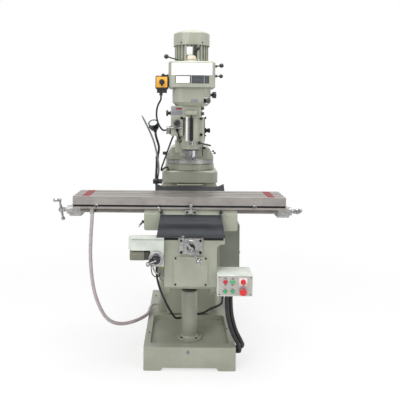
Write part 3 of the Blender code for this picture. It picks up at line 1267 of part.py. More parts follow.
def spring_housing():
    """The round housing of the quill's return spring, on the head's left side."""
    radius = SPRING_RADIUS
    profile = [(0, -SINK), (radius, -SINK), (radius, SPRING_LENGTH / 2), (radius - 0.004,
               SPRING_LENGTH / 2 + 0.004), (radius - 0.004, SPRING_LENGTH), (0, SPRING_LENGTH)]
    return turned(profile, (FEED_LEFT, SPINDLE_Y, PINION_Z), (-1, 0, 0), 20)


def make_quill(head):
    """The quill, its stop in the front slot, and the spindle that turns in it."""
    bore = QUILL_BORE
    profile = [
        (bore, QUILL_BOTTOM), (QUILL_RADIUS - 0.003, QUILL_BOTTOM), (QUILL_RADIUS, QUILL_BOTTOM + 0.003),
        (QUILL_RADIUS, QUILL_TOP), (bore, QUILL_TOP),
    ]
    place = (0, SPINDLE_Y, QUILL_BOTTOM)
    quill = add("quill", turned(profile, (0, SPINDLE_Y, 0), (0, 0, 1), 28), "bright_steel", place, head)
    width = SLOT_WIDTH / 2 - RUN
    stop_z = SLOT_BOTTOM + QUILL_TRAVEL + 0.004
    neck_back = SPINDLE_Y - QUILL_RADIUS - SEAT
    out = SPINDLE_Y - QUILL_RADIUS - HEAD_WALL - 0.001
    stop = add("quill_stop",
               block((-STOP_BLOCK / 2, out - 0.016, stop_z - 0.008), (STOP_BLOCK / 2, out,
                     stop_z + 0.008), 0.004, "Z", 2),
               "black_plastic", (0, neck_back, stop_z), quill)
    join(stop, block((-width, out - SINK, stop_z - 0.003), (width, neck_back, stop_z + 0.003)))
    nose = [
        (0, NOSE_Z + TAPER_DEPTH), (TAPER_RADIUS * 0.75, NOSE_Z + TAPER_DEPTH), (TAPER_RADIUS, NOSE_Z),
        (NOSE_RADIUS - 0.002, NOSE_Z), (NOSE_RADIUS, NOSE_Z + 0.002),
        (NOSE_RADIUS, QUILL_BOTTOM - RUN), (SPINDLE_RADIUS, QUILL_BOTTOM - RUN),
        (SPINDLE_RADIUS, QUILL_TOP + 0.010), (0, QUILL_TOP + 0.010),
    ]
    add("spindle", turned(nose, (0, SPINDLE_Y, 0), (0, 0, 1), 24), "bright_steel",
        (0, SPINDLE_Y, NOSE_Z), quill)


def make_gear_housing(head):
    """The back-gear housing between the quill head and the belt housing."""
    half = GEAR_WIDTH / 2
    rear = 0.050
    front = 0.062

    def section(inset):
        side = half - inset
        nose = GEAR_FRONT + inset
        tail = GEAR_BACK - inset
        points = arc((side - rear, tail - rear), rear, 0, 90, 3)
        points += arc((-side + rear, tail - rear), rear, 90, 180, 3)
        points += arc((-side + front, nose + front), front, 180, 270, 4)
        points += arc((side - front, nose + front), front, 270, 360, 4)
        return points

    rings = [(section(GEAR_CHAMFER), GEAR_BASE), (section(0.0), GEAR_BASE + GEAR_CHAMFER),
             (section(0.0), GEAR_TOP)]
    return add("gear_housing", loft(rings), PAINT, (0, SPINDLE_Y, GEAR_BASE), head)


def make_belt_housing(gear):
    """The belt housing: bowed in front, round at the back under the motor."""
    half = BELT_WIDTH / 2
    corner = 0.026
    bow = [(x, BELT_FRONT + BELT_BOW * (x / half) ** 2) for x in (-half * 0.55, 0.0, half * 0.55)]

    def section(inset):
        side = half - inset
        front = BELT_FRONT + BELT_BOW + inset
        rear = BELT_BACK - inset - side
        points = arc((0, rear), side, 0, 180, 10)
        points += arc((-side + corner, front + corner), corner, 180, 250, 3)
        points += [(x, y + inset) for x, y in bow]
        points += arc((side - corner, front + corner), corner, 290, 360, 3)
        return points

    rings = [(section(0.004), BELT_BASE), (section(0.0), BELT_BASE + 0.004),
             (section(0.0), BELT_TOP - 0.008), (section(0.008), BELT_TOP)]
    return add("belt_housing", loft(rings), PAINT, (0, SPINDLE_Y, BELT_BASE), gear)


def make_motor(belt):
    """The motor: a body with fins all round, and the fan cover with its open rim."""
    root = MOTOR_RADIUS - FIN_HEIGHT
    pitch = 360 / MOTOR_FINS
    outline = []
    for i in range(MOTOR_FINS):
        centre = i * pitch
        tip = pitch * FIN_SHARE / 2
        foot = pitch * (FIN_SHARE + 0.10) / 2
        for radius, angle in ((root, centre - foot), (MOTOR_RADIUS, centre - tip),
                              (MOTOR_RADIUS, centre + tip), (root, centre + foot)):
            a = math.radians(angle)
            outline.append((radius * math.cos(a), MOTOR_Y + radius * math.sin(a)))
    body = add("motor_body", prism(outline, "Z", MOTOR_BASE, MOTOR_BODY_TOP), PAINT,
               (0, MOTOR_Y, MOTOR_BASE), belt)
    inner = CAP_RADIUS - CAP_WALL
    rim = MOTOR_BODY_TOP - CAP_SKIRT
    shoulder = CAP_TOP - CAP_DOME
    seat = MOTOR_BODY_TOP + SEAT
    profile = [
        (0, seat), (inner - 0.030, seat), (inner - 0.016, seat + 0.020), (inner, seat + 0.016),
        (inner, rim), (CAP_RADIUS, rim), (CAP_RADIUS, shoulder - 0.006), (CAP_RADIUS - 0.004, shoulder),
        (CAP_RADIUS * 0.72, CAP_TOP - 0.005), (CAP_RADIUS * 0.35, CAP_TOP - 0.001), (0, CAP_TOP),
    ]
    add("fan_cover", turned(profile, (0, MOTOR_Y, 0), (0, 0, 1), 36), PAINT, (0, MOTOR_Y, rim), body)


def make_switch(belt):
    """The drum switch on the belt housing's left side, and its pointer knob."""
    right = -BELT_WIDTH / 2 - SEAT
    low = (right - SWITCH_WIDTH, SWITCH_FRONT, SWITCH_TOP - SWITCH_HEIGHT)
    high = (right, SWITCH_FRONT + SWITCH_DEPTH, SWITCH_TOP)
    switch = add("drum_switch", block(low, high, 0.006, "Y", 2), "black_plastic", low, belt)
    mid = right - SWITCH_WIDTH / 2
    under = block((mid - 0.030, SWITCH_FRONT + 0.010, low[2] - 0.022),
                  (mid + 0.030, high[1] - 0.008, low[2] + SINK), 0.004, "Z", 1)
    gland_y = SWITCH_FRONT + SWITCH_DEPTH / 2
    gland = rod((mid - 0.006, gland_y, low[2] - 0.038), (mid - 0.006, gland_y, low[2] - 0.018), 0.010, 12)
    join(switch, under, gland)
    centre = Vector((mid, SWITCH_FRONT - SEAT, low[2] + SWITCH_HEIGHT * 0.53))
    knob = add("switch_knob", turned([(0, 0), (0.017, 0), (0.016, 0.008), (0, 0.008)], centre,
                                     (0, -1, 0), 20), "black_plastic", centre, switch)
    join(knob, block((centre.x - 0.0055, centre.y - 0.024, centre.z - 0.026),
                     (centre.x + 0.0055, centre.y - 0.004, centre.z + 0.012), 0.004, "Y", 2))
    return Vector((mid - 0.006, gland_y, low[2] - 0.038 - SEAT))


def ball_lever(name, hub, out, tip, parent, ball=LEVER_BALL):
    """A lever with a hub on its pivot and a black ball on its end."""
    hub, out, tip = Vector(hub), Vector(out), Vector(tip)
    lever = add(name, turned([(0, 0), (LEVER_HUB, 0), (LEVER_HUB, 0.012), (0, 0.014)], hub, out, 12),
                "black_plastic", hub, parent)
    start = hub + out.normalized() * 0.006
    reach = (tip - start).length
    profile = [(0, 0), (LEVER_ROD, 0)] + ball_profile(ball, reach, 20, 180, 5)
    profile[-1] = (0, reach + ball)
    join(lever, turned(profile, start, tip - start, 10))
    return lever


def make_levers(head, gear, belt):
    """The hand levers and knobs of the head."""
    side = BELT_WIDTH / 2 + SEAT
    top = BELT_TOP + SEAT
    ball_lever("motor_lever", (0.014, -0.400, top), (0, 0, 1), (0.034, -0.418, top + 0.082), belt)
    ball_lever("brake_lever", (-0.062, -0.388, top), (0, 0, 1), (-0.157, -0.405, top + 0.031), belt)
    upper = BELT_TOP - UPPER_LEVER_DROP
    lower = BELT_TOP - LOWER_LEVER_DROP
    ball_lever("right_upper_lever", (side, -0.380, upper), (1, 0, 0), (side + 0.040, -0.386, upper + 0.004),
               belt)
    ball_lever("right_lower_lever", (side, -0.400, lower), (1, 0, 0), (side + 0.036, -0.404, lower - 0.001),
               belt, LEVER_BALL * 0.85)
    knob_at = Vector((GEAR_WIDTH / 2 + SEAT, -0.340, GEAR_TOP - GEAR_KNOB_DROP))
    knob = [(0, 0), (0.009, 0), (0.009, 0.010), (0.017, 0.012), (0.020, 0.018), (0.020, 0.036), (0, 0.038)]
    add("gear_knob", turned(knob, knob_at, (1, 0, 0), 20), "black_plastic", knob_at, gear)
    select_at = Vector((FEED_LEFT - SEAT, -0.345, NECK_TOP - SELECTOR_DROP))
    select = [(0, 0), (0.012, 0), (0.012, 0.008), (0.009, 0.010), (0.009, 0.016), (0.018, 0.018),
              (0.018, 0.030), (0, 0.031)]
    add("feed_selector", turned(select, select_at, (-1, 0, 0), 20), "black_plastic", select_at, head)
    wheel_at = Vector((-0.088, FEED_FRONT - SEAT, NECK_TOP - FINE_FEED_DROP))
    wheel = [(0, 0), (0.010, 0), (0.010, 0.010), (0.0195, 0.012), (0.0205, 0.016), (0.0205, 0.024),
             (0.012, 0.027), (0, 0.027)]
    add("fine_feed_knob", turned(wheel, wheel_at, (0, -1, 0), 20), "black_plastic", wheel_at, head)
    hub_at = Vector((HEAD_RIGHT + SEAT, SPINDLE_Y + 0.010, PINION_Z))
    hub = [(0, -0.012), (0.008, -0.012), (0.008, 0), (0.017, 0), (0.017, 0.010), (0.010, 0.014),
           (0.010, 0.020), (0.014, 0.022), (0.014, 0.036), (0, 0.038)]
    add("quill_pinion", turned(hub, hub_at, (1, 0, 0), 20), "black_steel", hub_at, head)
    lock_at = Vector((LOCK_BOSS_X, SPINDLE_Y - LOCK_BOSS_OUT - SEAT, LOCK_BOSS_Z))
    lock = turned([(0, 0), (0.010, 0), (0.010, 0.022), (0.007, 0.026), (0, 0.026)], lock_at, (0, -1, 0), 12)
    lever = add("quill_lock", lock, "black_plastic", lock_at, head)
    join(lever, turned(stick_profile(0.075, 0.0042, 0.0058), lock_at + Vector((0, -0.016, 0)),
                       (0.95, -0.25, -0.20), 10))


# ================================================================ hoses and cables
def make_hoses(parts, gland):
    """Hoses and cables, each through points chosen along its route."""
    outlet_y = TABLE_FRONT + 0.022
    drain = [(-0.592, outlet_y, TABLE_BOTTOM - SEAT), (-0.592, outlet_y, 0.900), (-0.603, -0.440, 0.780),
             (-0.611, -0.400, 0.640), (-0.604, -0.360, 0.480), (-0.578, -0.322, 0.345),
             (-0.526, -0.282, 0.228), (-0.455, -0.232, 0.172), (-0.365, -0.160, 0.158),
             (-0.285, -0.040, 0.157), (-0.268, 0.060, 0.166), (-COLUMN_WIDTH / 2 - 0.036, 0.106, 0.176),
             (-COLUMN_WIDTH / 2 - SEAT, 0.106, 0.176)]
    tube("drain_hose", smooth_route(drain, 0.050), DRAIN_RADIUS, "hose_grey", parts["table"], 3)
    bottom = CONTROL_TOP - CONTROL_HEIGHT - SEAT
    side = HALF_BASE + SEAT
    front_hose = [(0.214, -0.545, bottom), (0.214, -0.545, bottom - 0.060), (0.222, -0.530, 0.345),
                  (0.250, -0.492, 0.240), (0.286, -0.456, 0.160), (0.301, -0.428, 0.112),
                  (side + 0.030, -0.402, 0.082), (side, -0.402, 0.082)]
    tube("front_panel_hose", smooth_route(front_hose, 0.034), PANEL_HOSE_RADIUS, "hose_black",
         parts["knee"], 3)
    rear_hose = [(x + 0.024, y + 0.022, z) for x, y, z in front_hose[:5]]
    rear_hose += [(0.326, -0.388, 0.112), (side + 0.036, -0.352, 0.082), (side, -0.352, 0.082)]
    tube("rear_panel_hose", smooth_route(rear_hose, 0.034), PANEL_HOSE_RADIUS, "hose_black",
         parts["knee"], 3)
    cable = [(0.186, -0.560, bottom), (0.186, -0.560, bottom - 0.030), (0.178, -0.530, 0.415),
             (0.124, -0.400, 0.335), (0.078, -0.275, 0.260), (0.000, -0.198, 0.218),
             (-0.078, -0.262, 0.222), (-0.112, -0.345, 0.290), (-0.152, -0.435, 0.400),
             (-0.182, -0.478, 0.490), (-0.196, -0.515, 0.560), (LIFT_X, -0.528, 0.605),
             (LIFT_X, -0.530, LIFT_NECK_Z - SEAT)]
    tube("lift_cable", smooth_route(cable, 0.030), LIFT_CABLE_RADIUS, "hose_black", parts["knee"])
    socket = FEED_LEFT - SPRING_LENGTH
    upper = [gland, gland - Vector((0, 0, 0.022))]
    upper += [gland + Vector(step) for step in ((-0.0197, 0.007, -0.0637), (-0.0267, 0.014, -0.1057),
                                                (-0.0237, 0.024, -0.1457), (-0.0107, 0.048, -0.1857))]
    upper += [(socket - 0.022, SPINDLE_Y, PINION_Z), (socket - SEAT, SPINDLE_Y, PINION_Z)]
    tube("head_cable_upper", smooth_route(upper, 0.022), HEAD_CABLE_RADIUS, "hose_black", parts["head"])
    ram_side = -RAM_WIDTH / 2 - SEAT
    high = TURRET_TOP + 0.092
    lower = [(ram_side, -0.070, high), (ram_side - 0.020, -0.070, high), (-0.124, -0.066, high - 0.030)]
    lower += [(x, y, COLUMN_TOP + up) for x, y, up in (
        (-0.150, -0.052, 0.155), (-0.176, -0.040, 0.080), (-0.196, -0.028, 0.023), (-0.196, -0.018, 0.003),
        (-0.186, -0.005, 0.015), (-0.170, 0.005, 0.023), (-0.152, 0.008, 0.024), (-0.152, 0.008, 0.0))]
    tube("head_cable_lower", smooth_route(lower, 0.022), HEAD_CABLE_RADIUS, "hose_black", parts["column"])


def main():
    """Build the machine from the floor up."""
    clear_scene()
    base = make_base()
    make_pedestal(base)
    column = make_column(base)
    make_cabinet(column)
    make_lamp(column)
    make_nozzle(column)
    knee = make_knee(column)
    make_elevating_screw(knee)
    make_cross_feed(knee)
    make_lift(knee)
    make_controls(knee)
    make_way_covers(knee)
    saddle = make_saddle(knee)
    make_locks(saddle)
    table = make_table(saddle)
    make_table_ends(table)
    turret = make_turret(column)
    ram = make_ram(turret)
    adapter = make_adapter(ram)
    head = make_head(adapter)
    make_quill(head)
    gear = make_gear_housing(head)
    belt = make_belt_housing(gear)
    make_motor(belt)
    gland = make_switch(belt)
    make_levers(head, gear, belt)
    make_hoses({"table": table, "knee": knee, "head": head, "column": column}, gland)


main()
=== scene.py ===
import json
import logging
import math
from dataclasses import dataclass
from enum import Enum
from typing import Iterable, Optional, Sequence

import bmesh
import bpy
from mathutils import Matrix, Vector

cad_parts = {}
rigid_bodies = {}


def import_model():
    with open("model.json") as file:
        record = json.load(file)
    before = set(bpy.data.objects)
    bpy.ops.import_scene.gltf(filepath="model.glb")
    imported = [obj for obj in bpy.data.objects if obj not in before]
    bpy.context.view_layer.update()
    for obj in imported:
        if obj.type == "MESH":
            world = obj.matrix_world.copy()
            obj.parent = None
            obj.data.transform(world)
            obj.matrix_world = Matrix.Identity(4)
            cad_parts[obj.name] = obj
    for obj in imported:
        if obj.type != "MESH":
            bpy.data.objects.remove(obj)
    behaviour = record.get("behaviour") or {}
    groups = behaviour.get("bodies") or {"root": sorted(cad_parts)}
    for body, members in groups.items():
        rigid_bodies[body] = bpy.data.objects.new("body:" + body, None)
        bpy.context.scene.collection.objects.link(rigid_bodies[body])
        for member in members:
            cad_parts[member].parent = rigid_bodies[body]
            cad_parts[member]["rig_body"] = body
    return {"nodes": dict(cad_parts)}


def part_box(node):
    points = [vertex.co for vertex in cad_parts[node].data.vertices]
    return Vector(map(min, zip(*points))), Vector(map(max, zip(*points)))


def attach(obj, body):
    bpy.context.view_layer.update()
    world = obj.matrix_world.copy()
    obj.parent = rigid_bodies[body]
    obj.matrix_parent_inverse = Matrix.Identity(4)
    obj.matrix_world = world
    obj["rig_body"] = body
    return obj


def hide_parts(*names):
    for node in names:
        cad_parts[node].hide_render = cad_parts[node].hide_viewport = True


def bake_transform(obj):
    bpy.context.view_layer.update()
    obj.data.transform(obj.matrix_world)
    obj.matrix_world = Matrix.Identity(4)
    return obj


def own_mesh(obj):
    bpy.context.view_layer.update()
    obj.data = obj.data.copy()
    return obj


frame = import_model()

LOG = logging.getLogger("milling_machine")
Point = Sequence[float]
# How many points the curve gets between two chosen points before it is spaced evenly.
SPAN_STEPS = 24


class Axis(Enum):
    """The main directions of the frame, as unit vectors."""

    RIGHT = (1.0, 0.0, 0.0)
    UP = (0.0, 0.0, 1.0)
    LEFT = (-1.0, 0.0, 0.0)
    FRONT = (0.0, -1.0, 0.0)
    DOWN = (0.0, 0.0, -1.0)


# ---------------------------------------------------------------- colour and nodes
def linear(code: str) -> tuple[float, float, float, float]:
    """Turn an sRGB hex colour into the linear values that shaders use.

    Args:
        code: six hex digits, such as "a9ac9f".

    Returns:
        Red, green, blue and an alpha of 1.
    """
    parts = [int(code[i : i + 2], 16) / 255 for i in (0, 2, 4)]
    red, green, blue = (c / 12.92 if c <= 0.04045 else ((c + 0.055) / 1.055) ** 2.4 for c in parts)
    return red, green, blue, 1.0


def add_node(tree: bpy.types.NodeTree, kind: str, links: Optional[dict] = None,
             **settings: object) -> bpy.types.Node:
    """Add a node with its settings and links.

    Args:
        tree: the material's or world's node tree.
        kind: the node's type without its "ShaderNode" prefix.
        links: input name or number to the output socket that feeds it.
        **settings: properties of the node, or default values of its inputs with spaces as "_".

    Returns:
        The new node.
    """
    node = tree.nodes.new("ShaderNode" + kind)
    for name, value in settings.items():
        if hasattr(node, name):
            setattr(node, name, value)
        else:
            node.inputs[name.replace("_", " ")].default_value = value
    for name, socket in (links or {}).items():
        tree.links.new(socket, node.inputs[name])
    return node


def per_metre(pitch_mm: float) -> float:
    """Texture scale whose features repeat every so many millimetres."""
    return 1000.0 / pitch_mm


# ---------------------------------------------------------------- finishes
@dataclass(frozen=True)
class Finish:
    """A surface finish. Subclasses add how the surface was made."""

    name: str
    colour: str
    roughness: float
    slot: str

    def material(self) -> bpy.types.Material:
        """Build the material on its first use.

        Returns:
            The Blender material of this finish.
        """
        found = bpy.data.materials.get(self.name)
        if found:
            return found
        made = bpy.data.materials.new(self.name)
        made.use_nodes = True
        shader = made.node_tree.nodes["Principled BSDF"]
        shader.inputs["Base Color"].default_value = linear(self.colour)
        shader.inputs["Roughness"].default_value = self.roughness
        made.diffuse_color = linear(self.colour)
        self.dress(made.node_tree, shader)
        return made

    def dress(self, tree: bpy.types.NodeTree, shader: bpy.types.Node) -> None:
        """Add this finish's own nodes. A plain finish has none."""

    def tint(self, tree: bpy.types.NodeTree, shader: bpy.types.Node, mask: bpy.types.NodeSocket, light: str,
             dark: str) -> None:
        """Let the colour run between two shades by a mask.

        Args:
            tree: the material's nodes.
            shader: the Principled shader.
            mask: a socket from 0 to 1.
            light: the hex colour where the mask is 1.
            dark: the hex colour where it is 0.
        """
        ramp = add_node(tree, "ValToRGB", {"Fac": mask})
        ramp.color_ramp.elements[0].position = 0.32
        ramp.color_ramp.elements[0].color = linear(dark)
        ramp.color_ramp.elements[1].position = 0.68
        ramp.color_ramp.elements[1].color = linear(light)
        tree.links.new(ramp.outputs["Color"], shader.inputs["Base Color"])

    def gloss(self, tree: bpy.types.NodeTree, shader: bpy.types.Node, mask: bpy.types.NodeSocket, low: float,
              high: float) -> None:
        """Let the roughness run between two values by a mask from 0 to 1."""
        span = add_node(tree, "MapRange", {"Value": mask}, From_Min=0.3, From_Max=0.7, To_Min=low,
                        To_Max=high)
        tree.links.new(span.outputs["Result"], shader.inputs["Roughness"])

    def relief(self, tree: bpy.types.NodeTree, shader: bpy.types.Node, height: bpy.types.NodeSocket,
               depth_mm: float, strength: float = 1.0) -> None:
        """Raise the surface by a height socket, so many millimetres at most."""
        bump = add_node(tree, "Bump", {"Height": height}, Distance=depth_mm / 1000, Strength=strength)
        tree.links.new(bump.outputs["Normal"], shader.inputs["Normal"])


@dataclass(frozen=True)
class SprayedEnamel(Finish):
    """Machine enamel sprayed on filled cast iron: semi-gloss, with a faint orange peel and cloudy shade."""

    shade: str = "9a9e8f"
    peel_mm: float = 3.0
    peel_depth_mm: float = 0.05

    def dress(self, tree: bpy.types.NodeTree, shader: bpy.types.Node) -> None:
        """Cloudy colour, uneven gloss and orange peel."""
        place = add_node(tree, "TexCoord").outputs["Object"]
        clouds = add_node(tree, "TexNoise", {"Vector": place}, Scale=per_metre(140), Detail=4.0,
                          Roughness=0.6)
        smears = add_node(tree, "TexNoise", {"Vector": place}, Scale=per_metre(22), Detail=3.0)
        peel = add_node(tree, "TexNoise", {"Vector": place}, Scale=per_metre(self.peel_mm), Detail=1.0)
        self.tint(tree, shader, clouds.outputs["Fac"], self.colour, self.shade)
        self.gloss(tree, shader, smears.outputs["Fac"], self.roughness - 0.06, self.roughness + 0.10)
        self.relief(tree, shader, peel.outputs["Fac"], self.peel_depth_mm, 0.6)
        shader.inputs["Coat Weight"].default_value = 0.25
        shader.inputs["Coat Roughness"].default_value = 0.18


@dataclass(frozen=True)
class GroundIron(Finish):
    """Grey cast iron, surface ground along one direction and wiped with oil: fine brown-grey streaks."""

    shade: str = "86817b"
    across_mm: float = 2.4
    along: Axis = Axis.RIGHT

    def dress(self, tree: bpy.types.NodeTree, shader: bpy.types.Node) -> None:
        """Grinding streaks drawn out along one axis, and oil stains."""
        place = add_node(tree, "TexCoord").outputs["Object"]
        stretch = [0.03 if abs(part) > 0.5 else 1.0 for part in self.along.value]
        drawn = add_node(tree, "Mapping", {"Vector": place}, Scale=stretch)
        streaks = add_node(tree, "TexNoise", {"Vector": drawn.outputs["Vector"]},
                           Scale=per_metre(self.across_mm), Detail=5.0, Roughness=0.7)
        stains = add_node(tree, "TexNoise", {"Vector": place}, Scale=per_metre(90), Detail=5.0,
                          Roughness=0.65)
        both = add_node(tree, "Math", {0: streaks.outputs["Fac"], 1: stains.outputs["Fac"]}, operation="ADD")
        half = add_node(tree, "Math", {0: both.outputs["Value"]}, operation="MULTIPLY")
        half.inputs[1].default_value = 0.5
        self.tint(tree, shader, half.outputs["Value"], self.colour, self.shade)
        self.gloss(tree, shader, stains.outputs["Fac"], self.roughness - 0.05, self.roughness + 0.12)
        self.relief(tree, shader, streaks.outputs["Fac"], 0.02, 0.7)
        shader.inputs["Metallic"].default_value = 0.72


@dataclass(frozen=True)
class TurnedSteel(Finish):
    """Steel bar turned on a lathe and polished: bright, with fine rings and faint cloudiness."""

    shade: str = "8f9093"
    ring_mm: float = 1.6
    metallic: float = 1.0

    def dress(self, tree: bpy.types.NodeTree, shader: bpy.types.Node) -> None:
        """Tool rings in the gloss, and clouds of handling marks; where the shade is dark, as on chrome, the
        dark clouds are also painted reflections.
        """
        place = add_node(tree, "TexCoord").outputs["Object"]
        marks = add_node(tree, "TexNoise", {"Vector": place}, Scale=per_metre(12), Detail=4.0, Roughness=0.6)
        rings = add_node(tree, "TexNoise", {"Vector": place}, Scale=per_metre(self.ring_mm), Detail=2.0)
        self.tint(tree, shader, marks.outputs["Fac"], self.colour, self.shade)
        self.gloss(tree, shader, marks.outputs["Fac"], self.roughness - 0.04, self.roughness + 0.10)
        self.relief(tree, shader, rings.outputs["Fac"], 0.01, 0.4)
        shader.inputs["Metallic"].default_value = self.metallic


@dataclass(frozen=True)
class BlackenedSteel(Finish):
    """Steel with black oxide, oiled: a deep grey metal with soft, patchy gloss."""

    def dress(self, tree: bpy.types.NodeTree, shader: bpy.types.Node) -> None:
        """Patchy gloss over a dark metal."""
        place = add_node(tree, "TexCoord").outputs["Object"]
        patches = add_node(tree, "TexNoise", {"Vector": place}, Scale=per_metre(7), Detail=4.0)
        self.gloss(tree, shader, patches.outputs["Fac"], self.roughness - 0.08, self.roughness + 0.12)
        self.relief(tree, shader, patches.outputs["Fac"], 0.03, 0.4)
        shader.inputs["Metallic"].default_value = 0.55


@dataclass(frozen=True)
class Phenolic(Finish):
    """Phenolic moulded under pressure: hard black plastic, glossy with dulled patches where hands hold it."""

    def dress(self, tree: bpy.types.NodeTree, shader: bpy.types.Node) -> None:
        """Dulled patches and a faint moulding ripple."""
        place = add_node(tree, "TexCoord").outputs["Object"]
        hands = add_node(tree, "TexNoise", {"Vector": place}, Scale=per_metre(14), Detail=3.0)
        self.gloss(tree, shader, hands.outputs["Fac"], self.roughness - 0.08, self.roughness + 0.16)
        self.relief(tree, shader, hands.outputs["Fac"], 0.04, 0.3)
        shader.inputs["IOR"].default_value = 1.6


@dataclass(frozen=True)
class ProofedRubber(Finish):
    """Rubber sheet calendered on cloth: matt blue-black, with the weave just showing and dusty folds."""

    dust: str = "565b60"
    weave_mm: float = 1.2

    def dress(self, tree: bpy.types.NodeTree, shader: bpy.types.Node) -> None:
        """Dust in broad patches, and a fine weave."""
        place = add_node(tree, "TexCoord").outputs["Object"]
        dust = add_node(tree, "TexNoise", {"Vector": place}, Scale=per_metre(45), Detail=5.0, Roughness=0.7)
        warp = add_node(tree, "TexWave", {"Vector": place}, wave_type="BANDS", bands_direction="X",
                        Scale=per_metre(self.weave_mm) / 20)
        weft = add_node(tree, "TexWave", {"Vector": place}, wave_type="BANDS", bands_direction="Z",
                        Scale=per_metre(self.weave_mm) / 20)
        cloth = add_node(tree, "Math", {0: warp.outputs["Fac"], 1: weft.outputs["Fac"]}, operation="MULTIPLY")
        self.tint(tree, shader, dust.outputs["Fac"], self.dust, self.colour)
        self.gloss(tree, shader, dust.outputs["Fac"], self.roughness - 0.08, self.roughness + 0.1)
        self.relief(tree, shader, cloth.outputs["Value"], 0.12, 0.5)
        shader.inputs["Sheen Weight"].default_value = 0.15


@dataclass(frozen=True)
class ExtrudedHose(Finish):
    """Extruded hose: smooth along it, with a slight sheen and scuffs. Clear vinyl lets light through."""

    shade: str = "1b1b1d"
    clear: float = 0.0

    def dress(self, tree: bpy.types.NodeTree, shader: bpy.types.Node) -> None:
        """Scuffs, and some light through clear vinyl."""
        place = add_node(tree, "TexCoord").outputs["Object"]
        scuffs = add_node(tree, "TexNoise", {"Vector": place}, Scale=per_metre(18), Detail=5.0, Roughness=0.7)
        self.tint(tree, shader, scuffs.outputs["Fac"], self.colour, self.shade)
        self.gloss(tree, shader, scuffs.outputs["Fac"], self.roughness - 0.08, self.roughness + 0.12)
        self.relief(tree, shader, scuffs.outputs["Fac"], 0.08, 0.3)
        shader.inputs["Subsurface Weight"].default_value = self.clear
        shader.inputs["Subsurface Radius"].default_value = (0.01, 0.008, 0.008)


@dataclass(frozen=True)
class PowderCoat(Finish):
    """Powder coat baked on sheet steel: a fine even pebble and a soft sheen."""

    shade: str = "aab0a6"
    pebble_mm: float = 1.4

    def dress(self, tree: bpy.types.NodeTree, shader: bpy.types.Node) -> None:
        """Fine pebble and faint clouds."""
        place = add_node(tree, "TexCoord").outputs["Object"]
        clouds = add_node(tree, "TexNoise", {"Vector": place}, Scale=per_metre(90), Detail=3.0)
        pebble = add_node(tree, "TexNoise", {"Vector": place}, Scale=per_metre(self.pebble_mm), Detail=2.0)
        self.tint(tree, shader, clouds.outputs["Fac"], self.colour, self.shade)
        self.gloss(tree, shader, pebble.outputs["Fac"], self.roughness - 0.04, self.roughness + 0.06)
        self.relief(tree, shader, pebble.outputs["Fac"], 0.06, 0.5)


@dataclass(frozen=True)
class EtchedPlate(Finish):
    """Aluminium sheet brushed and anodised: satin, with straight brush lines across it."""

    shade: str = "a39f9a"
    metallic: float = 0.35

    def dress(self, tree: bpy.types.NodeTree, shader: bpy.types.Node) -> None:
        """Brush lines drawn out sideways."""
        place = add_node(tree, "TexCoord").outputs["Object"]
        drawn = add_node(tree, "Mapping", {"Vector": place}, Scale=(0.05, 1.0, 1.0))
        brush = add_node(tree, "TexNoise", {"Vector": drawn.outputs["Vector"]}, Scale=per_metre(1.6),
                         Detail=3.0)
        self.tint(tree, shader, brush.outputs["Fac"], self.colour, self.shade)
        self.gloss(tree, shader, brush.outputs["Fac"], self.roughness - 0.05, self.roughness + 0.08)
        self.relief(tree, shader, brush.outputs["Fac"], 0.01, 0.4)
        shader.inputs["Metallic"].default_value = self.metallic


@dataclass(frozen=True)
class MouldedPlastic(Finish):
    """Coloured ABS, injection moulded: even colour, a fine grain and a soft shine."""

    glow: float = 0.0

    def dress(self, tree: bpy.types.NodeTree, shader: bpy.types.Node) -> None:
        """Fine grain, and a little light from inside a lit lens."""
        place = add_node(tree, "TexCoord").outputs["Object"]
        grain = add_node(tree, "TexNoise", {"Vector": place}, Scale=per_metre(2.5), Detail=3.0)
        self.gloss(tree, shader, grain.outputs["Fac"], self.roughness - 0.05, self.roughness + 0.10)
        self.relief(tree, shader, grain.outputs["Fac"], 0.02, 0.4)
        shader.inputs["Emission Color"].default_value = linear(self.colour)
        shader.inputs["Emission Strength"].default_value = self.glow


ENAMEL = SprayedEnamel("enamel_sprayed_grey_green", "9ea191", 0.40, "enamel_grey_green", shade="939686")
DARK_ENAMEL = SprayedEnamel("enamel_sprayed_olive", "7a7b6a", 0.45, "dark_paint", shade="6b6c5d")
PALE_COAT = PowderCoat("powder_coated_sheet_pale", "d3d8d1", 0.42, "cabinet_paint", shade="bfc5bb")
# The cabinet's coat is painted darker than the machine's enamel: painted shade, as the cabinet stands in
# shadow on the column's side.
CABINET_COAT_PAINTED_SHADE = PowderCoat("powder_coated_sheet_painted_shade", "7c8074", 0.45, "cabinet_paint", shade="717569")
TABLE_IRON = GroundIron("cast_iron_ground", "a8a4a0", 0.36, "ground_iron", shade="8d8782")
BRIGHT = TurnedSteel("steel_turned_bright", "aeaeac", 0.24, "bright_steel")
# Chrome is painted darker than the metal, with a darker shade in its clouds: painted reflections of dark
# surroundings, as the surround reflects only white.
CHROME_WITH_PAINTED_REFLECTION = TurnedSteel("steel_chromed_with_painted_reflection", "b2b2b4", 0.16, "bright_steel", shade="77777b")
SATIN = TurnedSteel("steel_satin_chromed", "b4b3b1", 0.34, "bright_steel", shade="8f8e8d", metallic=0.7)
BLACK_STEEL = BlackenedSteel("steel_black_oxide", "17181a", 0.38, "black_steel")
KNOB_BLACK = Phenolic("phenolic_moulded_black", "0f0f11", 0.30, "black_plastic")
RUBBER = ProofedRubber("rubber_proofed_sheet", "191c21", 0.66, "black_rubber", dust="272b31")
VINYL = ExtrudedHose("vinyl_extruded_clear", "c0b4b4", 0.36, "hose_grey", shade="a89fa2", clear=0.35)
BLACK_HOSE = ExtrudedHose("rubber_extruded_black", "131315", 0.50, "hose_black", shade="0c0c0e")
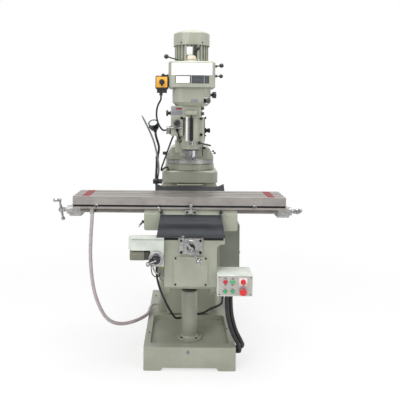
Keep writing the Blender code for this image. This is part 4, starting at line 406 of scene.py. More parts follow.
LAMP_PAINT = SprayedEnamel("enamel_baked_black", "151618", 0.34, "lamp_black", shade="0e0e10", peel_mm=2.0)
PLATE_SILVER = EtchedPlate("aluminium_brushed_plate", "bdb9b4", 0.40, "bright_steel")
PLATE_WHITE = EtchedPlate("aluminium_lacquered_white", "f0f0f0", 0.38, "cabinet_paint", shade="e6e6e8",
                          metallic=0.0)
PLATE_DARK = EtchedPlate("aluminium_lacquered_dark", "3b3f46", 0.40, "black_steel", shade="2c2f35",
                         metallic=0.1)
PLATE_GREY = EtchedPlate("aluminium_etched_grey", "8b8c92", 0.42, "bright_steel", shade="77787e",
                         metallic=0.2)
RED = MouldedPlastic("abs_moulded_red", "d0282b", 0.34, "red_plastic")
RED_LENS = MouldedPlastic("acrylic_lens_red", "b21f24", 0.20, "red_plastic", glow=0.05)
RED_SHEET = MouldedPlastic("vinyl_sheet_red", "86141f", 0.50, "red_plastic")
GREEN = MouldedPlastic("abs_moulded_green", "3fa060", 0.34, "green_plastic")
GREEN_LENS = MouldedPlastic("acrylic_lens_green", "4aa468", 0.20, "green_plastic", glow=0.05)
YELLOW = MouldedPlastic("abs_moulded_yellow", "e8a93a", 0.40, "cabinet_paint")
CREAM = MouldedPlastic("nylon_moulded_cream", "d3c6b0", 0.40, "cabinet_paint")
LENS = MouldedPlastic("glass_pressed_frosted", "d8dfe2", 0.22, "cabinet_paint", glow=0.06)
BRASS = TurnedSteel("brass_turned", "c2a468", 0.28, "bright_steel", shade="a98c52")


# ---------------------------------------------------------------- meshes
class Form:
    """A mesh in the making, in metres and in the frame's own place. Its methods can be chained."""

    def __init__(self) -> None:
        """Start with nothing."""
        self.mesh = bmesh.new()

    def slab(self, low: Point, high: Point, edge: float = 0.0, segments: int = 2) -> "Form":
        """Add a box between two corners with its edges rounded.

        Args:
            low: the lowest corner.
            high: the highest corner.
            edge: the radius of its edges.
            segments: faces in each rounding.

        Returns:
            This form.
        """
        low, high = Vector(low), Vector(high)
        made = bmesh.ops.create_cube(self.mesh, size=1.0)["verts"]
        middle, size = (low + high) / 2, high - low
        for vert in made:
            vert.co = Vector((middle[i] + vert.co[i] * size[i] for i in range(3)))
        if edge:
            edges = list({e for v in made for e in v.link_edges})
            bmesh.ops.bevel(self.mesh, geom=edges, offset=edge, segments=segments, profile=0.5,
                            affect="EDGES")
        return self

    def turned(self, profile: Sequence[tuple[float, float]], centre: Point, direction: Point,
               steps: int = 32) -> "Form":
        """Spin a profile of (radius, distance) points round a line through a centre.

        Args:
            profile: points from one end to the other, the first and last on the line.
            centre: where distance is nought.
            direction: the way that distance grows.
            steps: faces round it.

        Returns:
            This form.
        """
        part = bmesh.new()
        verts = [part.verts.new((radius, 0.0, along)) for radius, along in profile]
        edges = [part.edges.new(pair) for pair in zip(verts, verts[1:])]
        bmesh.ops.spin(part, geom=verts + edges, cent=(0, 0, 0), axis=(0, 0, 1), angle=math.tau, steps=steps)
        bmesh.ops.remove_doubles(part, verts=part.verts, dist=1e-6)
        turn = Vector((0, 0, 1)).rotation_difference(Vector(direction).normalized())
        bmesh.ops.transform(part, matrix=Matrix.Translation(Vector(centre)) @ turn.to_matrix().to_4x4(),
                            verts=part.verts)
        return self._take(part)

    def bar(self, start: Point, end: Point, radius: float, steps: int = 20, edge: float = 0.0006) -> "Form":
        """Add a round bar with broken edges between two points."""
        line = Vector(end) - Vector(start)
        long = line.length
        profile = [(0, 0), (radius - edge, 0), (radius, edge), (radius, long - edge), (radius - edge, long),
                   (0, long)]
        return self.turned(profile, start, line, steps)

    def ball(self, centre: Point, radius: float, steps: int = 24) -> "Form":
        """Add a ball."""
        half = steps // 2
        profile = [(radius * math.sin(math.pi * i / half), -radius * math.cos(math.pi * i / half))
                   for i in range(half + 1)]
        profile[0], profile[-1] = (0.0, -radius), (0.0, radius)
        return self.turned(profile, centre, (0, 0, 1), steps)

    def hexagon(self, centre: Point, direction: Point, across: float, high: float) -> "Form":
        """Add a hexagon head with a chamfered top, standing on its centre."""
        radius = across / 2 / math.cos(math.pi / 6)
        profile = [(0, 0), (radius, 0), (radius, high * 0.82), (radius * 0.86, high), (0, high)]
        return self.turned(profile, centre, direction, 6)

    def socket_screw(self, centre: Point, direction: Point, radius: float, high: float) -> "Form":
        """Add a round screw head with a socket sunk in it, standing on its centre."""
        profile = [(0, 0), (radius, 0), (radius, high * 0.85), (radius * 0.9, high), (radius * 0.52, high),
                   (radius * 0.48, high * 0.4), (0, high * 0.4)]
        return self.turned(profile, centre, direction, 18)

    def stud(self, centre: Point, direction: Point, shoulder: tuple[float, float], top: tuple[float, float],
             steps: int) -> "Form":
        """Add a round stud that tapers from its shoulder to its top, each given as radius and height."""
        profile = [(0, 0), (shoulder[0], 0), shoulder, top, (0, top[1])]
        return self.turned(profile, centre, direction, steps)

    def band(self, centre: Point, direction: Point, radii: tuple[float, float], heights: tuple[float, float],
             steps: int) -> "Form":
        """Add a plain ring between two radii and two heights."""
        (inner, outer), (low, high) = radii, heights
        profile = [(inner, low), (outer, low), (outer, high), (inner, high), (inner, low)]
        return self.turned(profile, centre, direction, steps)

    def swept(self, route: Sequence[Vector], radius: float, sides: int = 14) -> "Form":
        """Sweep a round section along a route, with flat ends.

        Args:
            route: the points that its centreline follows.
            radius: the tube's radius.
            sides: faces round it.

        Returns:
            This form.
        """
        normal = (route[1] - route[0]).normalized().orthogonal()
        loops = []
        for i, point in enumerate(route):
            ahead = (route[min(i + 1, len(route) - 1)] - route[max(i - 1, 0)]).normalized()
            normal = (normal - ahead * normal.dot(ahead)).normalized()
            across = ahead.cross(normal)
            loops.append([self.mesh.verts.new(point + (normal * math.cos(a) + across * math.sin(a)) * radius)
                          for a in (math.tau * k / sides for k in range(sides))])
        for lower, upper in zip(loops, loops[1:]):
            for k in range(sides):
                other = (k + 1) % sides
                self.mesh.faces.new((lower[k], lower[other], upper[other], upper[k]))
        self.mesh.faces.new(list(reversed(loops[0])))
        self.mesh.faces.new(loops[-1])
        return self

    def prism(self, outline: Sequence[Vector], along: Vector) -> "Form":
        """Draw a flat outline out along a vector."""
        low = [self.mesh.verts.new(point) for point in outline]
        high = [self.mesh.verts.new(point + along) for point in outline]
        for i in range(len(low)):
            j = (i + 1) % len(low)
            self.mesh.faces.new((low[i], low[j], high[j], high[i]))
        self.mesh.faces.new(list(reversed(low)))
        self.mesh.faces.new(high)
        return self

    def skin(self, rows: Sequence[Sequence[Vector]], thick: float, lift: Vector) -> "Form":
        """Add a thin closed sheet over a grid of points.

        Args:
            rows: the underside's points, row by row.
            thick: the sheet's thickness.
            lift: the way that the thickness goes.

        Returns:
            This form.
        """
        up = lift.normalized() * thick
        under = [[self.mesh.verts.new(p) for p in row] for row in rows]
        over = [[self.mesh.verts.new(p + up) for p in row] for row in rows]
        for layer, flip in ((under, True), (over, False)):
            for a, b in zip(layer, layer[1:]):
                for i in range(len(a) - 1):
                    face = (a[i], a[i + 1], b[i + 1], b[i])
                    self.mesh.faces.new(tuple(reversed(face)) if flip else face)
        rim = [(under[0], over[0]), (under[-1], over[-1]),
               ([r[0] for r in under], [r[0] for r in over]), ([r[-1] for r in under], [r[-1] for r in over])]
        for low, high in rim:
            for i in range(len(low) - 1):
                self.mesh.faces.new((low[i], low[i + 1], high[i + 1], high[i]))
        return self

    def _take(self, part: bmesh.types.BMesh) -> "Form":
        """Move another mesh's faces into this one."""
        copy = {vert: self.mesh.verts.new(vert.co) for vert in part.verts}
        for face in part.faces:
            self.mesh.faces.new([copy[vert] for vert in face.verts])
        part.free()
        return self

    def made(self, name: str, finish: Finish, body: Optional[str],
             smooth_deg: float = 35.0) -> bpy.types.Object:
        """Turn the form into a finished object.

        Args:
            name: the piece's name.
            finish: what its surface is.
            body: the CAD body that it rides on, or None to leave it on no body.
            smooth_deg: edges sharper than this stay sharp.

        Returns:
            The new object.
        """
        bmesh.ops.recalc_face_normals(self.mesh, faces=self.mesh.faces)
        data = bpy.data.meshes.new(name)
        self.mesh.to_mesh(data)
        self.mesh.free()
        data.shade_smooth()
        data.set_sharp_from_angle(angle=math.radians(smooth_deg))
        data.materials.append(finish.material())
        piece = bpy.data.objects.new(name, data)
        bpy.context.scene.collection.objects.link(piece)
        if body:
            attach(piece, body)
        return piece


def smooth_route(points: Iterable[Point], step: float) -> list[Vector]:
    """Space points evenly on a smooth curve through the chosen ones, straight at both ends.

    Args:
        points: the chosen points, the same as the CAD's own.
        step: the distance between points.

    Returns:
        The route.
    """
    knots = [Vector(p) for p in points]
    padded = [2 * knots[0] - knots[1]] + knots + [2 * knots[-1] - knots[-2]]
    fine = []
    for before, start, end, after in zip(padded, padded[1:], padded[2:], padded[3:]):
        for i in range(SPAN_STEPS):
            t = i / SPAN_STEPS
            bend = (2 * before - 5 * start + 4 * end - after) * t * t
            twist = (3 * start - before - 3 * end + after) * t**3
            fine.append(0.5 * (2 * start + (end - before) * t + bend + twist))
    fine.append(knots[-1])
    total = sum((b - a).length for a, b in zip(fine, fine[1:]))
    count = max(2, round(total / step))
    route, gone, wanted = [fine[0]], 0.0, total / count
    for a, b in zip(fine, fine[1:]):
        length = (b - a).length
        while gone + length >= wanted and len(route) < count:
            route.append(a.lerp(b, (wanted - gone) / length))
            wanted += total / count
        gone += length
    route.append(fine[-1])
    lead = total / count
    route[1] = knots[0] + (knots[1] - knots[0]).normalized() * lead
    route[-2] = knots[-1] + (knots[-2] - knots[-1]).normalized() * lead
    return route


def dress_node(finish: Finish, *names: str) -> None:
    """Give CAD nodes a finish in their own material slots.

    Args:
        finish: the new finish.
        *names: the nodes.
    """
    for name in names:
        node = frame["nodes"][name]
        if node.material_slots:
            for place in node.material_slots:
                place.material = finish.material()
        else:
            node.data.materials.append(finish.material())


def report(piece: str, made: Iterable[bpy.types.Object] = ()) -> None:
    """Log a finished sub-assembly and how many pieces it added."""
    LOG.info("%s: %d pieces added", piece, len(list(made)))


# ---------------------------------------------------------------- studio
@dataclass
class Studio:
    """Camera, lights and floor of a plain product photograph."""

    eye: Point = (-0.054, -3.49, 1.53)
    lens_mm: float = 45.37
    shift_x: float = 0.0434
    shift_y: float = -0.215
    sensor_mm: float = 36.0
    roll_deg: float = 0.5
    floor_half: float = 40.0
    key_watts: float = 88.0
    top_watts: float = 112.0
    fill_watts: float = 34.0
    sky: float = 0.5

    def camera(self) -> None:
        """Set the camera level at head height, framed by a small shift as the photograph is."""
        data = bpy.data.cameras.new("camera")
        data.lens = self.lens_mm
        data.sensor_width = self.sensor_mm
        data.shift_x, data.shift_y = self.shift_x, self.shift_y
        eye = bpy.data.objects.new("camera", data)
        eye.location = self.eye
        eye.rotation_euler = (math.pi / 2, -math.radians(self.roll_deg), 0.0)
        bpy.context.scene.collection.objects.link(eye)
        bpy.context.scene.camera = eye

    def lamp(self, name: str, place: Point, aim: Point, size: float, watts: float) -> None:
        """Add one soft box.

        Args:
            name: its name.
            place: where it stands.
            aim: the point that it faces.
            size: the side of the box in metres.
            watts: its power.
        """
        data = bpy.data.lights.new(name, "AREA")
        data.shape = "SQUARE"
        data.size = size
        data.energy = watts
        lamp = bpy.data.objects.new(name, data)
        lamp.location = place
        lamp.rotation_euler = (Vector(aim) - Vector(place)).to_track_quat("-Z", "Y").to_euler()
        bpy.context.scene.collection.objects.link(lamp)

    def world(self) -> None:
        """A white surround for the camera and reflections, and a weaker one for the light."""
        world = bpy.data.worlds.new("surround")
        bpy.context.scene.world = world
        world.use_nodes = True
        tree = world.node_tree
        tree.nodes.clear()
        path = add_node(tree, "LightPath")
        seen = add_node(tree, "Math", {0: path.outputs["Is Camera Ray"], 1: path.outputs["Is Glossy Ray"]},
                        operation="MAXIMUM")
        seen = add_node(tree, "Math", {0: seen.outputs["Value"], 1: path.outputs["Is Transmission Ray"]},
                        operation="MAXIMUM")
        strength = add_node(tree, "MapRange", {"Value": seen.outputs["Value"]}, To_Min=self.sky, To_Max=1.0)
        light = add_node(tree, "Background", {"Strength": strength.outputs["Result"]}, Color=linear("ffffff"))
        add_node(tree, "OutputWorld", {"Surface": light.outputs["Background"]})

    def floor(self) -> None:
        """A white studio floor that takes the machine's shadow close to it and fades out to plain white."""
        half = self.floor_half
        form = Form()
        corners = [form.mesh.verts.new(p) for p in
                   ((-half, -half, 0), (half, -half, 0), (half, half, 0), (-half, half, 0))]
        form.mesh.faces.new(corners)
        data = bpy.data.meshes.new("studio_floor")
        form.mesh.to_mesh(data)
        form.mesh.free()
        paper = bpy.data.materials.new("paper_seamless_white")
        paper.use_nodes = True
        tree = paper.node_tree
        tree.nodes.clear()
        path = add_node(tree, "LightPath")
        matt = add_node(tree, "BsdfDiffuse", Color=linear("f4f4f4"))
        white = add_node(tree, "Emission", Color=linear("ffffff"), Strength=1.0)
        place = add_node(tree, "TexCoord").outputs["Object"]
        away = add_node(tree, "VectorMath", {0: place}, operation="LENGTH")
        fade = add_node(tree, "MapRange", {"Value": away.outputs["Value"]}, From_Min=0.9, From_Max=2.6,
                        To_Min=0.70, To_Max=1.0)
        share = add_node(tree, "Math", {0: path.outputs["Is Camera Ray"], 1: fade.outputs["Result"]},
                         operation="MULTIPLY")
        both = add_node(tree, "MixShader", {0: share.outputs["Value"], 1: matt.outputs["BSDF"],
                                            2: white.outputs["Emission"]})
        add_node(tree, "OutputMaterial", {"Surface": both.outputs["Shader"]})
        data.materials.append(paper)
        ground = bpy.data.objects.new("studio_floor", data)
        bpy.context.scene.collection.objects.link(ground)

    def build(self) -> None:
        """Set up the whole studio."""
        bpy.context.scene.view_settings.view_transform = "Standard"
        self.camera()
        self.world()
        self.floor()
        self.lamp("key_soft_box", (-2.6, -3.4, 3.2), (0.0, -0.2, 1.0), 2.4, self.key_watts)
        self.lamp("top_soft_box", (0.2, -0.6, 4.2), (0.0, -0.1, 0.9), 2.6, self.top_watts)
        self.lamp("fill_soft_box", (3.0, -2.6, 1.8), (0.0, -0.1, 0.9), 2.2, self.fill_watts)


# ---------------------------------------------------------------- hoses and cables
class Lay(Enum):
    """How a hose is held: every one here hangs between its two ends."""

    HANGING = "hanging"


@dataclass
class Run:
    """One length of hose between two bodies that one joint joins.

    Args:
        name: the piece's name.
        first, second: the bodies at its two ends.
        share: where it starts and ends on the whole route, from 0 to 1.
    """

    name: str
    first: str
    second: str
    share: tuple[float, float]


@dataclass
class Hose:
    """A hose or cable: one route, made in runs, each run across at most one joint."""

    node: str
    points: Sequence[Point]
    radius: float
    finish: Finish
    runs: Sequence[Run]
    step: float = 0.016
    stiffness: str = "medium"
    lay: Lay = Lay.HANGING

    def build(self) -> list[bpy.types.Object]:
        """Returns:
            The runs' objects.
        """
        route = smooth_route(self.points, self.step)
        made = []
        for number, run in enumerate(self.runs):
            low = round(run.share[0] * (len(route) - 1))
            high = round(run.share[1] * (len(route) - 1))
            part = route[low : high + 1]
            body = run.first if run.first == run.second else None
            piece = Form().swept(part, self.radius).made(run.name, self.finish, body, 60)
            if not body:
                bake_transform(piece)
            if number == 0:
                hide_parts(self.node)
            made.append(piece)
        return made


@dataclass
class Hoses:
    """All hoses and cables, on the routes of the CAD's own points."""

    table_bottom: float = 0.962
    control_bottom: float = 0.4877
    base_side: float = 0.2763
    column_side: float = 0.212
    seat: float = 0.0003
    drain_radius: float = 0.011
    panel_radius: float = 0.0125
    lift_radius: float = 0.0065
    head_radius: float = 0.0055

    def drain(self) -> Hose:
        """The clear drain hose from the table's left end to the column."""
        y = -0.468
        points = [(-0.592, y, self.table_bottom - self.seat), (-0.592, y, 0.900), (-0.603, -0.440, 0.780),
                  (-0.611, -0.400, 0.640), (-0.604, -0.360, 0.480), (-0.578, -0.322, 0.345),
                  (-0.526, -0.282, 0.228), (-0.455, -0.232, 0.172), (-0.365, -0.160, 0.158),
                  (-0.285, -0.040, 0.157), (-0.268, 0.060, 0.166), (-self.column_side - 0.036, 0.106, 0.176),
                  (-self.column_side - self.seat, 0.106, 0.176)]
        runs = [Run("drain_hose_top", "table", "saddle", (0.0, 0.34)),
                Run("drain_hose_middle", "saddle", "knee", (0.34, 0.50)),
                Run("drain_hose_low", "knee", "frame", (0.50, 1.0))]
        return Hose("drain_hose", points, self.drain_radius, VINYL, runs, 0.020)

    def panel(self) -> list[Hose]:
        """The two black hoses from the control box to the base's side."""
        bottom = self.control_bottom
        side = self.base_side
        front = [(0.214, -0.545, bottom), (0.214, -0.545, bottom - 0.060), (0.222, -0.530, 0.345),
                 (0.250, -0.492, 0.240), (0.286, -0.456, 0.160), (0.301, -0.428, 0.112),
                 (side + 0.030, -0.402, 0.082), (side, -0.402, 0.082)]
        rear = [(x + 0.024, y + 0.022, z) for x, y, z in front[:5]]
        rear += [(0.326, -0.388, 0.112), (side + 0.036, -0.352, 0.082), (side, -0.352, 0.082)]
        return [Hose("front_panel_hose", front, self.panel_radius, BLACK_HOSE,
                     [Run("panel_hose_front", "knee", "frame", (0.0, 1.0))]),
                Hose("rear_panel_hose", rear, self.panel_radius, BLACK_HOSE,
                     [Run("panel_hose_rear", "knee", "frame", (0.0, 1.0))])]

    def lift(self) -> Hose:
        """The black cable from the control box round the pedestal to the power lift."""
        bottom = self.control_bottom
        points = [(0.186, -0.560, bottom), (0.186, -0.560, bottom - 0.030), (0.178, -0.530, 0.415),
                  (0.124, -0.400, 0.335), (0.078, -0.275, 0.260), (0.000, -0.198, 0.218),
                  (-0.078, -0.262, 0.222), (-0.112, -0.345, 0.290), (-0.152, -0.435, 0.400),
                  (-0.182, -0.478, 0.490), (-0.196, -0.515, 0.560), (-0.199, -0.528, 0.605),
                  (-0.199, -0.530, 0.6507)]
        runs = [Run("lift_cable_run", "knee", "knee", (0.0, 1.0))]
        return Hose("lift_cable", points, self.lift_radius, BLACK_HOSE, runs, 0.012)

    def head(self) -> list[Hose]:
        """The head's cable: from the drum switch to the spring housing, and from the ram to the column."""
        upper = [(-0.1873, -0.412, 1.6417), (-0.1873, -0.412, 1.6197), (-0.207, -0.405, 1.578),
                 (-0.214, -0.398, 1.536), (-0.211, -0.388, 1.496), (-0.198, -0.364, 1.456),
                 (-0.176, -0.340, 1.428), (-0.1543, -0.340, 1.428)]
        lower = [(-0.0883, -0.070, 1.392), (-0.1083, -0.070, 1.392), (-0.124, -0.066, 1.362),
                 (-0.150, -0.052, 1.290), (-0.176, -0.040, 1.215), (-0.196, -0.028, 1.158),
                 (-0.196, -0.018, 1.138), (-0.186, -0.005, 1.150), (-0.170, 0.005, 1.158),
                 (-0.152, 0.008, 1.159), (-0.152, 0.008, 1.1353)]
        return [Hose("head_cable_upper", upper, self.head_radius, BLACK_HOSE,
                     [Run("head_cable_switch", "head", "head", (0.0, 1.0))], 0.010),
                Hose("head_cable_lower", lower, self.head_radius, BLACK_HOSE,
                     [Run("head_cable_ram", "ram", "turret", (0.0, 0.5)),
                      Run("head_cable_column", "turret", "frame", (0.5, 1.0))], 0.010)]

    def build(self) -> None:
        """Make every hose, and give the looped one a mesh of its own."""
        made = self.drain().build()
        for hose in self.panel() + self.head():
            made += hose.build()
        loop = self.lift().build()[0]
        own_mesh(loop)
        made.append(loop)
        collars = Form()
        for x, y in ((0.214, -0.545), (0.238, -0.523)):
            collars.stud((x, y, self.control_bottom), Axis.DOWN.value, (0.017, 0.010), (0.013, 0.022), 20)
        made.append(collars.made("panel_hose_glands", KNOB_BLACK, "knee"))
        mouth = (-0.592, -0.468, self.table_bottom - 0.0002)
        outlet = Form().stud(mouth, Axis.DOWN.value, (0.014, 0.030), (0.012, 0.034), 20)
        made.append(outlet.made("drain_outlet", SATIN, "table"))
        report("hoses and cables", made)


# ---------------------------------------------------------------- standing frame
@dataclass
class Base:
    """The base casting, its tray fittings and the screw pedestal."""

    front: float = -0.490
    height: float = 0.140
    plug_radius: float = 0.011
    pedestal: tuple[float, float] = (0.0, -0.274)
    flange_top: float = 0.1213
    flange_bolt_circle: float = 0.0655

    def plug(self) -> bpy.types.Object:
        """The threaded plug in the base's front, with its square socket."""
        form = Form().turned([(0, -0.001), (self.plug_radius, -0.001), (self.plug_radius, 0.002),
                              (self.plug_radius - 0.002, 0.003), (0.005, 0.003), (0.0045, 0.0006),
                              (0, 0.0006)],
                             (-0.010, self.front, 0.112), Axis.FRONT.value, 24)
        return form.made("base_plug", PLATE_GREY, "frame")

    def screws(self) -> bpy.types.Object:
        """Levelling screws in the rim of the tray."""
        form = Form()
        for x, y in ((-0.252, -0.284), (0.244, -0.224), (-0.244, 0.360), (0.244, 0.360)):
            form.socket_screw((x, y, self.height - 0.0012), Axis.UP.value, 0.0062, 0.003)
        return form.made("base_levelling_screws", BLACK_STEEL, "frame")

    def flange_bolts(self) -> bpy.types.Object:
        """Four socket screws that hold the pedestal down."""
        form = Form()
        x, y = self.pedestal
        for i in range(4):
            a = math.radians(40 + 90 * i)
            out_x, out_y = self.flange_bolt_circle * math.cos(a), self.flange_bolt_circle * math.sin(a)
            form.socket_screw((x + out_x, y + out_y, self.flange_top - 0.0002), Axis.UP.value, 0.0055, 0.006)
        return form.made("pedestal_screws", BLACK_STEEL, "frame")

    def build(self) -> None:
        """Dress the base and add its fittings."""
        dress_node(ENAMEL, "base_casting", "screw_pedestal")
        dress_node(BRIGHT, "elevating_screw")
        report("base", [self.plug(), self.screws(), self.flange_bolts()])


@dataclass
class Column:
    """The column with its cabinet, lamp and coolant hose."""

    lip_half: float = 0.090
    lip_z: tuple[float, float] = (1.0335, 1.0445)
    cabinet_right: float = 0.3583
    cabinet_y: tuple[float, float] = (0.092, 0.388)
    cabinet_z: tuple[float, float] = (0.342, 0.746)
    lamp_pivot: Point = (-0.24287, 0.01981, 1.40803)
    lamp_way: Point = (-0.16, -0.62, 0.76)
    lamp_length: float = 0.078
    lamp_mouth: float = 0.035
    clamp: Point = (-0.2365, 0.060, 1.055)

    def lip(self) -> bpy.types.Object:
        """The machined lip of the block, above the way, in the column's enamel."""
        low, high = self.lip_z
        form = Form().slab((-self.lip_half, -0.0005, low), (self.lip_half, 0.020, high), 0.003)
        return form.made("column_lip", ENAMEL, "frame")

    def cabinet_fittings(self) -> list[bpy.types.Object]:
        """Two hinges and a quarter-turn latch on the cabinet's door."""
        x = self.cabinet_right
        low_y, high_y = self.cabinet_y
        low_z, high_z = self.cabinet_z
        middle = (low_z + high_z) / 2
        hinges = Form()
        for z in (low_z + 0.070, high_z - 0.070):
            hinges.bar((x - 0.001, high_y + 0.004, z - 0.028), (x - 0.001, high_y + 0.004, z + 0.028), 0.0052)
        latch = Form().stud((x - 0.0002, low_y + 0.030, middle), Axis.RIGHT.value, (0.013, 0.003),
                            (0.011, 0.0045), 24)
        latch.slab((x + 0.004, low_y + 0.028, middle - 0.008), (x + 0.0075, low_y + 0.032, middle + 0.008),
                   0.001)
        return [hinges.made("cabinet_hinges", BLACK_STEEL, "frame"),
                latch.made("cabinet_latch", CHROME_WITH_PAINTED_REFLECTION, "frame")]

    def lamp(self) -> list[bpy.types.Object]:
        """The lamp's lens and rim, its neck ring, and the clamp with the post below it."""
        way = Vector(self.lamp_way).normalized()
        pivot = Vector(self.lamp_pivot)
        face = pivot + way * (self.lamp_length - 0.0026)
        lens = Form().turned([(0, 0), (0.0268, 0), (0.0260, 0.0012), (0.014, 0.0022), (0, 0.0025)], face, way,
                             36)
        rings = Form()
        mouth = self.lamp_mouth
        rings.turned([(0.0266, -0.001), (mouth + 0.0008, -0.001), (mouth + 0.0008, 0.0030),
                      (mouth - 0.0010, 0.0046), (0.0285, 0.0046), (0.0266, 0.0030), (0.0266, -0.001)],
                     face, way, 40)
        for along, radius in ((0.030, 0.0285), (0.040, 0.0318), (0.050, 0.0362)):
            rings.turned([(0.0, along - 0.002), (radius, along - 0.002), (radius + 0.0006, along),
                          (radius, along + 0.002), (0.0, along + 0.002)], pivot, way, 36)
        x, y, z = self.clamp
        clamp = Form().slab((x - 0.022, y - 0.018, z - 0.017), (x + 0.022, y + 0.018, z + 0.017), 0.006, 3)
        clamp.turned([(0, 0), (0.012, 0), (0.016, 0.004), (0.016, 0.016), (0.012, 0.020), (0, 0.020)],
                     (x, y - 0.017, z - 0.001), Axis.FRONT.value, 10)
        post = Form().bar((x + 0.001, y, z - 0.015), (x + 0.004, y, z - 0.085), 0.0075)
        post.turned([(0, 0), (0.0105, 0), (0.0120, 0.004), (0.0120, 0.022), (0.0100, 0.026), (0, 0.026)],
                    (-0.2317, 0.0495, 1.212), (0.16, -0.09, 0.98), 20)
        return [lens.made("lamp_lens", LENS, "lamp_head"), rings.made("lamp_rings", LAMP_PAINT, "lamp_head"),
                clamp.made("lamp_clamp", LAMP_PAINT, "frame"), post.made("lamp_post", LAMP_PAINT, "frame")]

    def hose_rings(self) -> bpy.types.Object:
        """The beads of the jointed coolant hose."""
        points = [(-0.2123, 0.110, 0.965), (-0.2323, 0.110, 0.965), (-0.2383, 0.100, 1.010),
                  (-0.2200, 0.058, 1.120), (-0.2200, 0.035, 1.175), (-0.2260, 0.020, 1.222),
                  (-0.2340, 0.018, 1.264), (-0.2520, 0.020, 1.334), (-0.2745, 0.020, 1.390),
                  (-0.2990, 0.018, 1.4425), (-0.3370, 0.012, 1.518)]
        route = smooth_route(points, 0.0105)
        form = Form()
        for i in range(3, len(route) - 4):
            way = (route[i + 1] - route[i - 1]).normalized()
            form.turned([(0, -0.0036), (0.0052, -0.0036), (0.0068, -0.0012), (0.0068, 0.0016),
                         (0.0054, 0.0038), (0, 0.0038)], route[i], way, 14)
        return form.made("coolant_hose_beads", PLATE_GREY, "frame", 50)

    def build(self) -> None:
        """Dress the column and add what hangs on it."""
        dress_node(ENAMEL, "column_casting")
        # The electrical cabinet gets the darker coat: painted shade.
        dress_node(CABINET_COAT_PAINTED_SHADE, "electrical_cabinet")
        dress_node(LAMP_PAINT, "lamp_stem", "lamp_head")
        dress_node(PLATE_GREY, "coolant_hose")
        made = [self.lip(), *self.cabinet_fittings(), *self.lamp(), self.hose_rings()]
        report("column", made)


